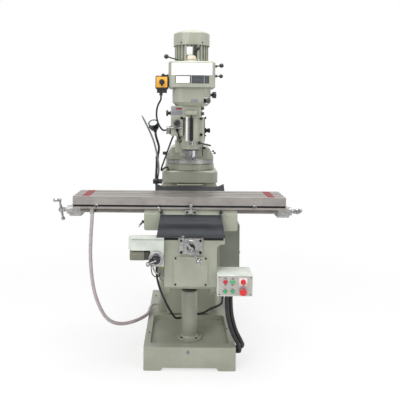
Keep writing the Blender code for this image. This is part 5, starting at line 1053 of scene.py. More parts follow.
# ---------------------------------------------------------------- knee
@dataclass
class Knee:
    """The knee's front: door panel, cross-feed flange and dial, rubber covers, power lift and lubricator."""

    front: float = -0.560
    panel_front: float = -0.566
    panel_screws: tuple[float, float, float] = (0.0875, 0.6925, 0.5405)
    flange_half: tuple[float, float] = (0.067, 0.045)
    flange_front: float = -0.572
    cross_z: float = 0.7634
    lift_x: float = -0.199
    lift_z: float = 0.700
    lift_front: float = -0.5903
    lift_top: float = 0.812
    lift_height: float = 0.070
    lift_depth: float = 0.084
    lift_seat: float = 0.0003
    lift_motor_radius: float = 0.033
    lift_motor_place: float = 0.45
    dial_face: float = -0.5985
    grip_x: float = 0.0467
    grip_y: float = -0.6347
    grip_drop: float = 0.0672
    sheet_thick: float = 0.0026
    cover_half: float = 0.200
    cover_top: float = 0.930
    rear_half: float = 0.2325
    rear_reach: float = 0.1775
    rear_low: float = 0.9557
    rear_rise: float = 0.069
    rear_seat: float = 0.0006
    rib_left: float = -0.266
    rib_pitch: float = 0.0052
    rib_count: int = 6
    saddle_front: float = -0.490
    saddle_back: float = -0.190
    knee_top: float = 0.812

    def panel(self) -> bpy.types.Object:
        """Four socket screws in the door panel."""
        x, high, low = self.panel_screws
        form = Form()
        for sx in (-x, x):
            for z in (low, high):
                form.socket_screw((sx, self.panel_front + 0.0008, z), Axis.FRONT.value, 0.0058, 0.0035)
        return form.made("door_screws", BLACK_STEEL, "knee")

    def flange(self) -> list[bpy.types.Object]:
        """The bright flange that carries the cross-feed screw, with four bolts and a raised ring."""
        hx, hz = self.flange_half
        z = self.cross_z
        plate = Form().slab((-hx - 0.0006, self.flange_front - 0.0012, z - hz - 0.0006),
                            (hx + 0.0006, self.front - 0.0004, z + hz + 0.0006), 0.004, 3)
        bolts = Form()
        for sx in (-hx + 0.0115, hx - 0.0115):
            for sz in (-hz + 0.0105, hz - 0.0105):
                bolts.socket_screw((sx, self.flange_front - 0.0012, z + sz), Axis.FRONT.value, 0.0075, 0.0060)
        return [plate.made("cross_feed_plate", SATIN, "knee"),
                bolts.made("cross_feed_bolts", BLACK_STEEL, "knee")]

    def dial_marks(self, name: str, centre: Point, radius: float, body: str,
                   count: int = 100) -> bpy.types.Object:
        """Fine marks round a dial's rim.

        Args:
            name: the piece's name.
            centre: the middle of the marks on the dial's line, which runs along Y.
            radius: the dial's radius.
            body: the body that the dial rides on.
            count: how many marks.

        Returns:
            One object with all marks.
        """
        tenth, fifth, single = 0.0105, 0.0065, 0.0045
        form = Form()
        for i in range(count):
            a = math.tau * i / count
            long = tenth if i % 10 == 0 else fifth if i % 5 == 0 else single
            out = Vector((math.cos(a), 0, math.sin(a)))
            side = Vector((-math.sin(a), 0, math.cos(a))) * 0.0004
            start = Vector(centre) + out * (radius - 0.0002)
            back = Vector((0, long, 0))
            form.prism([start - side, start + side, start + side + back, start - side + back], out * 0.0004)
        return form.made(name, KNOB_BLACK, body)

    def cover_strips(self) -> bpy.types.Object:
        """Two dark strips along the top of the knee's front, just under the front cover's lower edge."""
        form = Form()
        for left, right in ((-0.190, -0.074), (0.074, 0.190)):
            form.slab((left, self.front - 0.0016, self.knee_top - 0.0155),
                      (right, self.front + 0.0006, self.knee_top - 0.0015), 0.0006)
        return form.made("cover_strips", BLACK_STEEL, "knee")

    def front_cover(self) -> bpy.types.Object:
        """The rubber sheet from the saddle down to the knee, bellied by its own fold."""
        columns, rows = 40, 22
        grid = []
        for j in range(rows + 1):
            v = j / rows
            line = []
            for i in range(columns + 1):
                u = 2 * i / columns - 1
                half = self.cover_half - 0.020 + 0.020 * (1 - v)
                y = self.front - 0.001 + (self.saddle_front - self.front - 0.003) * v
                z = self.knee_top + 0.004 + (self.cover_top - self.knee_top - 0.004) * v
                folds = 0.008 * math.sin(4 * math.pi * v + 0.4) * (1 - 0.4 * u * u)
                belly = 0.009 * math.sin(math.pi * v) + folds
                ripple = 0.0018 * math.sin(9 * u + 5 * v) * math.sin(math.pi * v)
                lip = 0.006 * max(0.0, 1 - 7 * v) ** 2
                drop = 0.004 * u * u * (1 - v)
                line.append(Vector((u * half, y - belly - ripple - lip - 0.001, z - drop + 0.3 * belly)))
            grid.append(line)
        form = Form().skin(grid, self.sheet_thick, Vector((0, -0.8, 0.6)))
        piece = form.made("front_cover_sheet", RUBBER, None, 60)
        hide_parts("front_way_cover")
        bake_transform(piece)
        return piece

    def rear_cover(self) -> list[bpy.types.Object]:
        """The rubber sheet behind the saddle with curled corners, and its curtain at the column's way."""
        columns, rows = 36, 26
        half = self.rear_half
        grid = []
        for j in range(rows + 1):
            v = j / rows
            line = []
            for i in range(columns + 1):
                u = 2 * i / columns - 1
                y = self.saddle_back + self.rear_seat + (self.rear_reach - self.rear_seat) * v
                z = self.rear_low + self.rear_rise * v
                fold = 0.004 * math.sin(10 * math.pi * v) * math.sin(math.pi * min(1.0, 1.6 * (1 - v)))
                curl = 0.024 * abs(u) ** 7 * (0.25 + 0.75 * v)
                line.append(Vector((u * half, y, z + fold + curl + 0.0005)))
            grid.append(line)
        upward = Vector((0, -0.3, 0.95))
        piece = Form().skin(grid, self.sheet_thick, upward).made("rear_cover_sheet", RUBBER, None, 60)
        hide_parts("rear_way_cover")
        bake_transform(piece)
        rows = 30
        curtain = []
        for j in range(rows + 1):
            v = j / rows
            y, z = -0.0125 + 0.0110 * v, 1.0245 + 0.0035 * v
            curtain.append([Vector((u * half / 18, y, z)) for u in range(-18, 19)])
        apron = Form().skin(curtain, 0.0022, upward).made("rear_cover_curtain", RUBBER, None, 60)
        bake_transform(apron)
        return [piece, apron]

    def lift(self) -> list[bpy.types.Object]:
        """A thin dark line near the power lift's top, its motor ribs, crank hub and arm, and the lubricator's
        handle and pipes.
        """
        front = self.lift_front
        # A thin dark line across the lift housing's front, just below its top.
        dark_line = Form().slab((-0.340, front - 0.0010, 0.8035), (-0.158, front + 0.001, 0.8055), 0.0008)
        ribs = Form()
        y = front + self.lift_depth * self.lift_motor_place
        z = self.lift_top - self.lift_height - self.lift_seat - self.lift_motor_radius
        for i in range(self.rib_count):
            x = self.rib_left + self.rib_pitch * i
            ribs.turned([(0, -0.0012), (0.0318, -0.0012), (0.0322, -0.0006), (0.0322, 0.0006),
                         (0.0318, 0.0012), (0, 0.0012)], (x, y, z), Axis.RIGHT.value, 32)
        hub = Form().turned([(0, 0), (0.0240, 0), (0.0262, 0.002), (0.0262, 0.0125), (0.0240, 0.0150),
                             (0, 0.0155)],
                            (self.lift_x, front - 0.0266, self.lift_z), Axis.FRONT.value, 36)
        rim = Form().turned([(0.0262, 0), (0.0335, 0), (0.0335, 0.0012), (0.0262, 0.0016), (0.0262, 0)],
                            (self.lift_x, front - 0.0262, self.lift_z), Axis.FRONT.value, 40)
        way = Vector((-0.93, 0, -0.37)).normalized()
        centre = Vector((self.lift_x, front - 0.0600, self.lift_z))
        tip = centre + way * 0.046
        arm = Form().bar(centre - way * 0.004, centre + way * 0.050, 0.0046)
        arm.ball(tip + Vector((0, -0.0122, 0)), 0.0118)
        arm.bar(tip, tip + Vector((0, -0.008, 0)), 0.0066)
        handle_route = [(-0.216, -0.5895, 0.664), (-0.216, -0.600, 0.656), (-0.213, -0.602, 0.640),
                        (-0.204, -0.601, 0.624), (-0.192, -0.598, 0.612)]
        handle = Form().swept(smooth_route(handle_route, 0.004), 0.0052, 12)
        tube_route = [(-0.227, -0.5895, 0.664), (-0.227, -0.600, 0.645), (-0.220, -0.600, 0.612),
                      (-0.204, -0.588, 0.592), (-0.186, -0.560, 0.583), (-0.1805, -0.530, 0.583),
                      (-0.1805, -0.4995, 0.583)]
        tube = Form().swept(smooth_route(tube_route, 0.005), 0.0028, 10)
        nipple = Form().bar((-0.163, -0.4990, 0.622), (-0.163, -0.5130, 0.622), 0.0060)
        pipe_route = [(-0.176, -0.487, 0.560), (-0.176, -0.489, 0.548), (-0.170, -0.492, 0.540),
                      (-0.160, -0.492, 0.545), (-0.1535, -0.492, 0.553)]
        pipe = Form().swept(smooth_route(pipe_route, 0.003), 0.0028, 10)
        return [dark_line.made("lift_cover_dark_line", BLACK_STEEL, "knee"),
                ribs.made("lift_motor_ribs", BLACK_STEEL, "knee"),
                hub.made("elevation_hub", KNOB_BLACK, "elevation_crank"),
                rim.made("elevation_rim", CHROME_WITH_PAINTED_REFLECTION, "elevation_crank"),
                arm.made("elevation_arm", CHROME_WITH_PAINTED_REFLECTION, "elevation_crank"),
                handle.made("lubricator_handle", CHROME_WITH_PAINTED_REFLECTION, "knee"),
                tube.made("lubricator_tube", BLACK_HOSE, "knee"),
                nipple.made("lubricator_nipple", BRASS, "knee"), pipe.made("lubricator_pipe", BRIGHT, "knee")]

    def cross_hub(self) -> list[bpy.types.Object]:
        """The dial's black lock ring, and the large turned grip at the crank's lower ball."""
        ring = Form().turned([(0.0135, 0), (0.0240, 0), (0.0240, 0.0060), (0.0215, 0.0085), (0.0135, 0.0085),
                              (0.0135, 0)], (0, self.dial_face, self.cross_z), Axis.FRONT.value, 40)
        centre = Vector((self.grip_x, self.grip_y, self.cross_z - self.grip_drop))
        grip = Form().ball(centre, 0.0158)
        grip.turned([(0, 0), (0.0105, 0), (0.0150, 0.0080), (0.0165, 0.0160), (0.0150, 0.0230),
                     (0.0090, 0.0270), (0, 0.0280)], centre + Vector((0, -0.0095, 0)), Axis.FRONT.value, 36)
        return [ring.made("cross_lock_ring", KNOB_BLACK, frame["nodes"]["cross_screw"]["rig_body"]),
                grip.made("cross_grip", CHROME_WITH_PAINTED_REFLECTION, frame["nodes"]["cross_crank"]["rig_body"])]

    def build(self) -> None:
        """Dress the knee and add its fittings."""
        dress_node(ENAMEL, "knee_casting")
        dress_node(PALE_COAT, "lift_housing")
        dress_node(DARK_ENAMEL, "lift_motor")
        dress_node(CHROME_WITH_PAINTED_REFLECTION, "cross_crank")
        dress_node(SATIN, "cross_screw", "elevation_dial")
        dress_node(KNOB_BLACK, "elevation_crank")
        made = [self.panel(), *self.flange(), self.cover_strips(), self.front_cover(), *self.rear_cover(),
                *self.lift(), *self.cross_hub()]
        dial = frame["nodes"]["cross_screw"]
        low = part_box("cross_screw")[0]
        radius = -low.x
        made.append(self.dial_marks("cross_dial_marks", (0, self.flange_front - 0.022, self.cross_z), radius,
                                    dial["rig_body"]))
        made.append(self.dial_marks("elevation_dial_marks",
                                    (self.lift_x, self.lift_front - 0.022, self.lift_z),
                                    radius, "elevation_crank"))
        report("knee", made)


@dataclass
class ControlBox:
    """The push-button box: face plate, lamps, bezels, isolator plate and label strips left bare."""

    left: float = 0.1528
    right: float = 0.3558
    top: float = 0.612
    bottom: float = 0.488
    front: float = -0.615
    lean: float = 0.010
    rows: tuple[float, float] = (0.576, 0.520)
    columns: tuple[float, float, float] = (0.1983, 0.2403, 0.2998)

    def on_face(self, x: float, z: float, out: float = 0.0) -> Vector:
        """A point of the leaning face, or so far in front of it."""
        y = self.front + self.lean * (self.top - z) / (self.top - self.bottom)
        return Vector((x, y, z)) + self.way() * out

    def way(self) -> Vector:
        """The face's outward direction."""
        return Vector((0, self.bottom - self.top, -self.lean)).normalized()

    def corners(self, x: tuple[float, float], z: tuple[float, float], out: float) -> list[Vector]:
        """Four corners of a patch so far in front of the face, from its left and right, bottom and top."""
        places = ((x[0], z[0]), (x[1], z[0]), (x[1], z[1]), (x[0], z[1]))
        return [self.on_face(*place, out) for place in places]

    def sheet(self, x: tuple[float, float], z: tuple[float, float], low: float, thick: float) -> Form:
        """A thin plate on the face.

        Args:
            x: its left and right.
            z: its bottom and top.
            low: how far its back is in front of the face.
            thick: its thickness.

        Returns:
            The form.
        """
        return Form().prism(self.corners(x, z, low), self.way() * thick)

    def build(self) -> None:
        """Dress the box and add what its face carries."""
        dress_node(PALE_COAT, "control_box")
        dress_node(GREEN, "green_button_left", "green_button_right")
        dress_node(RED, "emergency_stop", "isolator_knob")
        face = self.sheet((self.left + 0.005, self.right - 0.005), (self.bottom + 0.006, self.top - 0.005),
                          0.0002, 0.0010)
        made = [face.made("control_face", PLATE_SILVER, "knee")]
        screws = Form()
        for x in (self.left + 0.011, self.right - 0.011):
            for z in (self.bottom + 0.012, self.top - 0.011):
                screws.socket_screw(self.on_face(x, z, 0.0010), self.way(), 0.0034, 0.0022)
        made.append(screws.made("control_screws", BLACK_STEEL, "knee"))
        bezels = Form()
        for x in self.columns[:2]:
            bezels.stud(self.on_face(x, self.rows[0], 0.0010), self.way(), (0.0142, 0.0030), (0.0130, 0.0042),
                        28)
        made.append(bezels.made("indicator_bezels", CHROME_WITH_PAINTED_REFLECTION, "knee"))
        for name, x, finish in (("red_indicator", self.columns[0], RED_LENS),
                                ("green_indicator", self.columns[1], GREEN_LENS)):
            lens = Form().turned([(0, 0), (0.0126, 0), (0.0121, 0.0042), (0.0092, 0.0070), (0.0046, 0.0084),
                                  (0, 0.0088)], self.on_face(x, self.rows[0], 0.0050), self.way(), 28)
            made.append(lens.made(name, finish, "knee"))
        rings = Form()
        for x in self.columns[:2]:
            centre = self.on_face(x, self.rows[1], 0.0012)
            rings.turned([(0.0112, 0), (0.0138, 0), (0.0138, 0.0026), (0.0126, 0.0036), (0.0112, 0.0036),
                          (0.0112, 0)],
                         centre, self.way(), 28)
        made.append(rings.made("button_bezels", CHROME_WITH_PAINTED_REFLECTION, "knee"))
        plate = self.sheet((self.columns[2] - 0.0232, self.columns[2] + 0.0232),
                           (self.rows[0] - 0.0225, self.rows[0] + 0.0232), 0.0066, 0.0008)
        made.append(plate.made("isolator_plate", PLATE_WHITE, "knee"))
        labels = Form()
        for x in self.columns[:2]:
            for z in (self.rows[0] - 0.0205, self.rows[0] + 0.0205):
                strip = self.corners((x - 0.0070, x + 0.0070), (z - 0.0022, z + 0.0022), 0.0011)
                labels.prism(strip, self.way() * 0.0006)
        made.append(labels.made("control_labels", PLATE_DARK, "knee"))
        report("control box", made)


# ---------------------------------------------------------------- saddle and table
@dataclass
class SaddleAndTable:
    """The saddle's levers and stop bracket, and the table's stops, plates and ends."""

    front: float = -0.490
    table_top: float = 1.035
    table_left: float = -0.704
    table_right: float = 0.566
    slot_z: float = 0.980
    lock_z: float = 0.946
    foot_half: float = 0.0225
    foot_radius: float = 0.0115
    foot_z: float = 0.9470

    def stop_bracket(self) -> list[bpy.types.Object]:
        """The stop bracket: a rounded foot with two screws and an upright post."""
        outline = []
        for x, start in ((-self.foot_half, math.pi / 2), (self.foot_half, -math.pi / 2)):
            for i in range(17):
                a = start + math.pi * i / 16
                round_x, round_z = self.foot_radius * math.cos(a), self.foot_radius * math.sin(a)
                outline.append(Vector((x + round_x, self.front - 0.0078, self.foot_z + round_z)))
        foot = Form().prism(outline, Vector((0, -0.0024, 0)))
        post = Form().slab((-0.0086, self.front - 0.0172, 0.9395), (0.0086, self.front - 0.0054, 0.9973),
                           0.0020, 3)
        screws = Form()
        for x in (-self.foot_half, self.foot_half):
            screws.socket_screw((x, self.front - 0.0100, self.foot_z), Axis.FRONT.value, 0.0068, 0.0055)
        return [foot.made("stop_foot", SATIN, "saddle"), post.made("stop_post", BRIGHT, "saddle"),
                screws.made("stop_screws", BLACK_STEEL, "saddle")]

    def lock_hubs(self) -> list[bpy.types.Object]:
        """Black hubs of the bright lock levers."""
        made = []
        for name, x in (("left_table_lock", -0.176), ("right_table_lock", 0.178)):
            place = (x, self.front - 0.0005, self.lock_z)
            hub = Form().stud(place, Axis.FRONT.value, (0.0105, 0.017), (0.0085, 0.0235), 24)
            made.append(hub.made(name + "_hub", KNOB_BLACK, name))
        place = (-0.2784, -0.450, 0.878)
        hub = Form().stud(place, Axis.LEFT.value, (0.0090, 0.0135), (0.006, 0.0175), 24)
        made.append(hub.made("saddle_lock_hub", KNOB_BLACK, "saddle_lock"))
        return made

    def stops(self) -> list[bpy.types.Object]:
        """A dark strip of painted shadow inside the T-slot along the table's front, and the two stop dogs
        clamped in it.
        """
        # The dark strip stands for the shadow at the bottom of the slot: painted shadow.
        strip = Form().slab((self.table_left + 0.002, self.front + 0.0070, self.slot_z - 0.0056),
                            (self.table_right - 0.002, self.front + 0.0096, self.slot_z + 0.0056))
        dogs, nuts = Form(), Form()
        for x in (-0.563, 0.379):
            dogs.turned([(0, 0), (0.0105, 0), (0.0115, 0.002), (0.0115, 0.007), (0.0095, 0.009), (0, 0.009)],
                        (x, self.front + 0.001, self.slot_z), Axis.FRONT.value, 28)
            nuts.socket_screw((x, self.front - 0.0078, self.slot_z), Axis.FRONT.value, 0.0052, 0.0030)
        return [strip.made("stop_slot_painted_shadow", BLACK_STEEL, "table"), dogs.made("stop_dogs", CHROME_WITH_PAINTED_REFLECTION, "table"),
                nuts.made("stop_dog_screws", BLACK_STEEL, "table")]

    def red_plates(self) -> bpy.types.Object:
        """The plain red strips laid on the lands between the T-slots, one row near each end."""
        form = Form()
        lands = ((-0.470, -0.4350), (-0.4180, -0.3715), (-0.3545, -0.3080), (-0.2910, -0.250))
        for x0, x1 in ((-0.652, -0.606), (0.460, 0.504)):
            for y0, y1 in lands:
                form.slab((x0, y0, self.table_top - 0.0002), (x1, y1, self.table_top + 0.0006), 0.0002)
        return form.made("table_end_strips", RED_SHEET, "table")

    def build(self) -> None:
        """Dress saddle and table and add their fittings."""
        dress_node(ENAMEL, "saddle_casting")
        dress_node(TABLE_IRON, "table")
        dress_node(SATIN, "left_screw_bracket", "right_screw_bracket", "table_screw")
        dress_node(CHROME_WITH_PAINTED_REFLECTION, "left_table_crank", "right_table_crank")
        dress_node(CHROME_WITH_PAINTED_REFLECTION, "left_table_lock", "right_table_lock", "saddle_lock")
        made = [*self.stop_bracket(), *self.lock_hubs(), *self.stops(), self.red_plates()]
        report("saddle and table", made)


# ---------------------------------------------------------------- turret and ram
@dataclass
class TurretAndRam:
    """The graduated ring, small bolts, the ram's lock levers and screws, and the nod bolts."""

    centre: tuple[float, float] = (0.0, 0.190)
    ring_radius: float = 0.171
    ring_z: tuple[float, float] = (1.1793, 1.2193)
    flange_z: float = 1.1793
    bolt_circle: float = 0.1725
    mark_count: int = 180
    side: float = 0.165

    def ring(self) -> list[bpy.types.Object]:
        """A bright band round the turret with a mark for every second degree."""
        low, high = self.ring_z[0] + 0.0035, self.ring_z[1] - 0.0035
        x, y = self.centre
        r = self.ring_radius
        band = Form().band((x, y, 0), Axis.UP.value, (r - 0.004, r + 0.0006), (low, high), 96)
        marks = Form()
        for i in range(self.mark_count):
            a = math.tau * i / self.mark_count
            out = Vector((math.cos(a), math.sin(a), 0))
            side = Vector((-math.sin(a), math.cos(a), 0)) * 0.0005
            tall = 0.016 if i % 5 == 0 else 0.009
            start = Vector((x, y, high - 0.003)) + out * (r + 0.0004)
            drop = Vector((0, 0, tall))
            marks.prism([start - side, start + side, start + side - drop, start - side - drop], out * 0.0004)
        return [band.made("turret_ring", SATIN, "turret"), marks.made("turret_marks", KNOB_BLACK, "turret")]

    def bolts(self) -> bpy.types.Object:
        """Small hexagon heads on the turret's flange."""
        form = Form()
        x, y = self.centre
        for deg in (35, 145, 215, 325):
            a = math.radians(deg)
            # They stand on the flange's rim, just outside the graduated ring's foot.
            out_x, out_y = self.bolt_circle * math.cos(a), self.bolt_circle * math.sin(a)
            form.hexagon((x + out_x, y + out_y, self.flange_z - 0.006), Axis.UP.value, 0.004, 0.002)
        return form.made("turret_pips", BLACK_STEEL, "turret")

    def levers(self) -> list[bpy.types.Object]:
        """Two short lock levers on the turret's right, and a dark block of painted shade on its left."""
        rods, knobs = Form(), Form()
        for y, z in ((0.100, 1.252), (0.285, 1.252)):
            rods.bar((self.side - 0.004, y, z), (self.side + 0.008, y, z + 0.001), 0.0042)
            knobs.ball((self.side + 0.012, y, z + 0.002), 0.0080)
        # A black block on the turret's left side: painted shade where that side of the turret falls in
        # shadow.
        knobs.slab((-self.side - 0.032, 0.182, 1.232), (-self.side + 0.002, 0.216, 1.254), 0.003)
        return [rods.made("ram_lock_rods", BRIGHT, "turret"),
                knobs.made("ram_lock_knobs_and_painted_shade", KNOB_BLACK, "turret")]

    def ram_screws(self) -> bpy.types.Object:
        """Socket screws in the top of the ram, near its back end."""
        form = Form()
        for x in (-0.045, 0.045):
            for y in (0.480, 0.590):
                form.socket_screw((x, y, 1.4396), Axis.UP.value, 0.0065, 0.006)
        return form.made("ram_end_screws", BLACK_STEEL, "ram")

    def adapter(self) -> bpy.types.Object:
        """The pivot bolt's heads on the adapter's two ears."""
        form = Form()
        for side in (-1, 1):
            form.hexagon((side * 0.0748, -0.150, 1.385), (side, 0, 0), 0.030, 0.012)
        return form.made("nod_bolts", BLACK_STEEL, "ram_adapter")

    def build(self) -> None:
        """Dress the turret, ram and adapter."""
        dress_node(ENAMEL, "turret", "ram", "ram_adapter")
        made = [*self.ring(), self.bolts(), *self.levers(), self.ram_screws(), self.adapter()]
        report("turret and ram", made)


# ---------------------------------------------------------------- head
@dataclass
class Head:
    """The quill head: depth scale, stop rod and nuts, feed plate, screws and small levers."""

    spindle_y: float = -0.340
    barrel: float = 0.062
    feed_front: float = -0.405
    body_front: float = -0.370
    pinion_z: float = 1.428
    trip_z: float = 1.4445
    rod_y: float = -0.4245
    nuts_z: tuple[float, float] = (1.3395, 1.3510)
    mark_low: float = 1.372
    mark_pitch: float = 0.0023
    mark_count: int = 56

    def scale(self) -> list[bpy.types.Object]:
        """The depth scale: a bright flat bar with marks, on two small blocks."""
        channel = Form().slab((-0.0110, -0.4036, 1.368), (-0.0058, -0.4000, 1.520), 0.0006)
        channel.slab((0.0058, -0.4036, 1.368), (0.0110, -0.3990, 1.520), 0.0006)
        bar = Form().slab((-0.0335, -0.4075, 1.364), (-0.0190, -0.4045, 1.512), 0.0006)
        marks = Form()
        for i in range(self.mark_count):
            z = self.mark_low + self.mark_pitch * i
            long = 0.0075 if i % 5 == 0 else 0.0040
            marks.slab((-0.0198 - long, -0.4078, z - 0.00035), (-0.0198, -0.4072, z + 0.00035))
        blocks = Form()
        for z in (1.372, 1.497):
            blocks.slab((-0.0320, -0.4046, z - 0.006), (-0.0205, -0.388, z + 0.006), 0.001)
        return [channel.made("stop_channel", BLACK_STEEL, "head"),
                bar.made("depth_scale", PLATE_WHITE, "head"),
                marks.made("depth_marks", KNOB_BLACK, "head"), blocks.made("depth_blocks", ENAMEL, "head")]

    def stop_rod(self) -> list[bpy.types.Object]:
        """The threaded depth rod before the slot, its two bright nuts and the castings that hold it."""
        y = self.rod_y
        rod = Form().bar((0.0, y, 1.338), (0.0, y, 1.531), 0.0042)
        nuts = Form()
        for z in self.nuts_z:
            nuts.turned([(0.0044, 0), (0.0140, 0), (0.0155, 0.0015), (0.0155, 0.0085), (0.0140, 0.0100),
                         (0.0044, 0.0100), (0.0044, 0)], (0.0, y, z), Axis.UP.value, 30)
        holder = Form().slab((-0.040, -0.434, 1.524), (0.034, -0.395, 1.548), 0.006, 3)
        foot = Form().slab((-0.016, -0.432, 1.331), (0.016, -0.392, 1.341), 0.003, 2)
        return [rod.made("depth_rod", BLACK_STEEL, "head"), nuts.made("depth_nuts", CHROME_WITH_PAINTED_REFLECTION, "head"),
                holder.made("depth_holder", ENAMEL, "head"), foot.made("depth_foot", ENAMEL, "head")]

    def screws(self) -> list[bpy.types.Object]:
        """Black screws on the head's face and the small knobs of the feed control."""
        form = Form()
        for x, z in ((0.062, 1.504), (0.062, 1.403), (-0.060, 1.505)):
            y = self.body_front if z < 1.5 or x > 0 else self.feed_front
            form.socket_screw((x, y + 0.0006, z), Axis.FRONT.value, 0.0085, 0.009)
        knobs = Form()
        for x, z in ((0.070, 1.566), (0.070, 1.533)):
            y = -0.404
            knobs.turned([(0, -0.020), (0.006, -0.020), (0.006, 0.0), (0.0105, 0.002), (0.0105, 0.012),
                          (0.008, 0.015), (0, 0.015)], (x - 0.006, y + 0.012, z), (0.55, -0.83, 0.0), 20)
        # A black ring where the quill leaves the head casting.
        collar = Form().band((0, self.spindle_y, 1.3045), Axis.UP.value,
                             (self.barrel - 0.0215, self.barrel - 0.0130), (0, 0.007), 48)
        return [form.made("head_screws", BLACK_STEEL, "head"),
                knobs.made("feed_stop_knobs", KNOB_BLACK, "head"),
                collar.made("quill_dark_ring", KNOB_BLACK, "head")]

    def feed_plate(self) -> list[bpy.types.Object]:
        """The bare etched plate on the feed box with its red strip."""
        y = self.feed_front
        plate = Form().slab((-0.1205, y - 0.0011, 1.5235), (-0.0555, y + 0.0005, 1.5695), 0.0005)
        strip = Form().slab((-0.0960, y - 0.0015, 1.5575), (-0.0600, y - 0.0009, 1.5665), 0.0002)
        return [plate.made("feed_plate", PLATE_GREY, "head"),
                strip.made("feed_plate_strip", RED_SHEET, "head")]

    def levers(self) -> list[bpy.types.Object]:
        """The feed trip bar, the feed handle with its ball, the trip plate and the tilt lever."""
        front, z = self.feed_front, self.trip_z
        top = Vector((-0.086, front - 0.004, 1.430))
        low = Vector((-0.068, front - 0.024, 1.366))
        handle = Form().bar(top, low, 0.0042)
        handle.stud((top.x, front + 0.002, top.z), Axis.FRONT.value, (0.010, 0.014), (0.007, 0.017), 24)
        trip = Form().bar((-0.150, front - 0.0100, z), (-0.056, front - 0.0100, z), 0.0050)
        for x in (-0.118, -0.066):
            trip.bar((x, front + 0.0010, z), (x, front - 0.0110, z), 0.0062)
        ball = Form().ball(low, 0.0115)
        plate = Form().slab((0.0822, -0.352, 1.394), (0.0858, -0.322, 1.512), 0.0012)
        for bottom, upper in ((1.500, 1.514), (1.392, 1.402)):
            plate.slab((0.0850, -0.346, bottom), (0.0935, -0.334, upper), 0.002)
        low_lever = Form().slab((0.071, -0.330, 1.262), (0.076, -0.322, 1.322), 0.001)
        low_lever.stud((0.074, -0.326, 1.318), (1, -0.2, 0.1), (0.007, 0.016), (0.005, 0.019), 18)
        return [trip.made("feed_trip_bar", CHROME_WITH_PAINTED_REFLECTION, "head"), handle.made("feed_handle", BLACK_STEEL, "head"),
                ball.made("feed_handle_ball", KNOB_BLACK, "head"),
                plate.made("trip_plate", BLACK_STEEL, "head"),
                low_lever.made("tilt_lever", BLACK_STEEL, "head")]

    def spindle(self) -> list[bpy.types.Object]:
        """The black drive key on the spindle's nose, and the flats round it."""
        key = Form().socket_screw((0.012, self.spindle_y - 0.0335, 1.2535), Axis.FRONT.value, 0.0048, 0.0045)
        flats = Form().turned([(0.0330, -0.0055), (0.0356, -0.0045), (0.0356, 0.0045), (0.0330, 0.0055),
                               (0.0330, -0.0055)], (0, self.spindle_y, 1.2540), Axis.UP.value, 12)
        return [key.made("nose_key", BLACK_STEEL, "spindle"), flats.made("nose_flats", CHROME_WITH_PAINTED_REFLECTION, "spindle", 20)]

    def spring_cap(self) -> list[bpy.types.Object]:
        """The cream cover of the return spring, inside a bright ring, with a black ring behind it."""
        face = (-0.1475, self.spindle_y, self.pinion_z)
        behind = (-0.1262, self.spindle_y, self.pinion_z)
        ring = Form().band(face, Axis.LEFT.value, (0.0205, 0.0248), (0, 0.0070), 36)
        back = Form().band(behind, Axis.LEFT.value, (0.0236, 0.0262), (0, 0.0080), 36)
        cream = Form().turned([(0.0058, 0), (0.0204, 0), (0.0204, 0.0060), (0.0185, 0.0076), (0.0058, 0.0076),
                               (0.0058, 0)], face, Axis.LEFT.value, 32)
        return [ring.made("spring_ring", CHROME_WITH_PAINTED_REFLECTION, "head"), back.made("spring_collar", KNOB_BLACK, "head"),
                cream.made("spring_cover", CREAM, "head")]

    def build(self) -> None:
        """Dress the quill head and add its fittings."""
        dress_node(ENAMEL, "head_casting")
        dress_node(CHROME_WITH_PAINTED_REFLECTION, "quill", "spindle")
        dress_node(KNOB_BLACK, "quill_stop", "quill_lock", "feed_selector", "fine_feed_knob")
        dress_node(BLACK_STEEL, "quill_pinion")
        made = [*self.scale(), *self.stop_rod(), *self.screws(), *self.feed_plate(), *self.levers(),
                *self.spindle(), *self.spring_cap()]
        report("quill head", made)


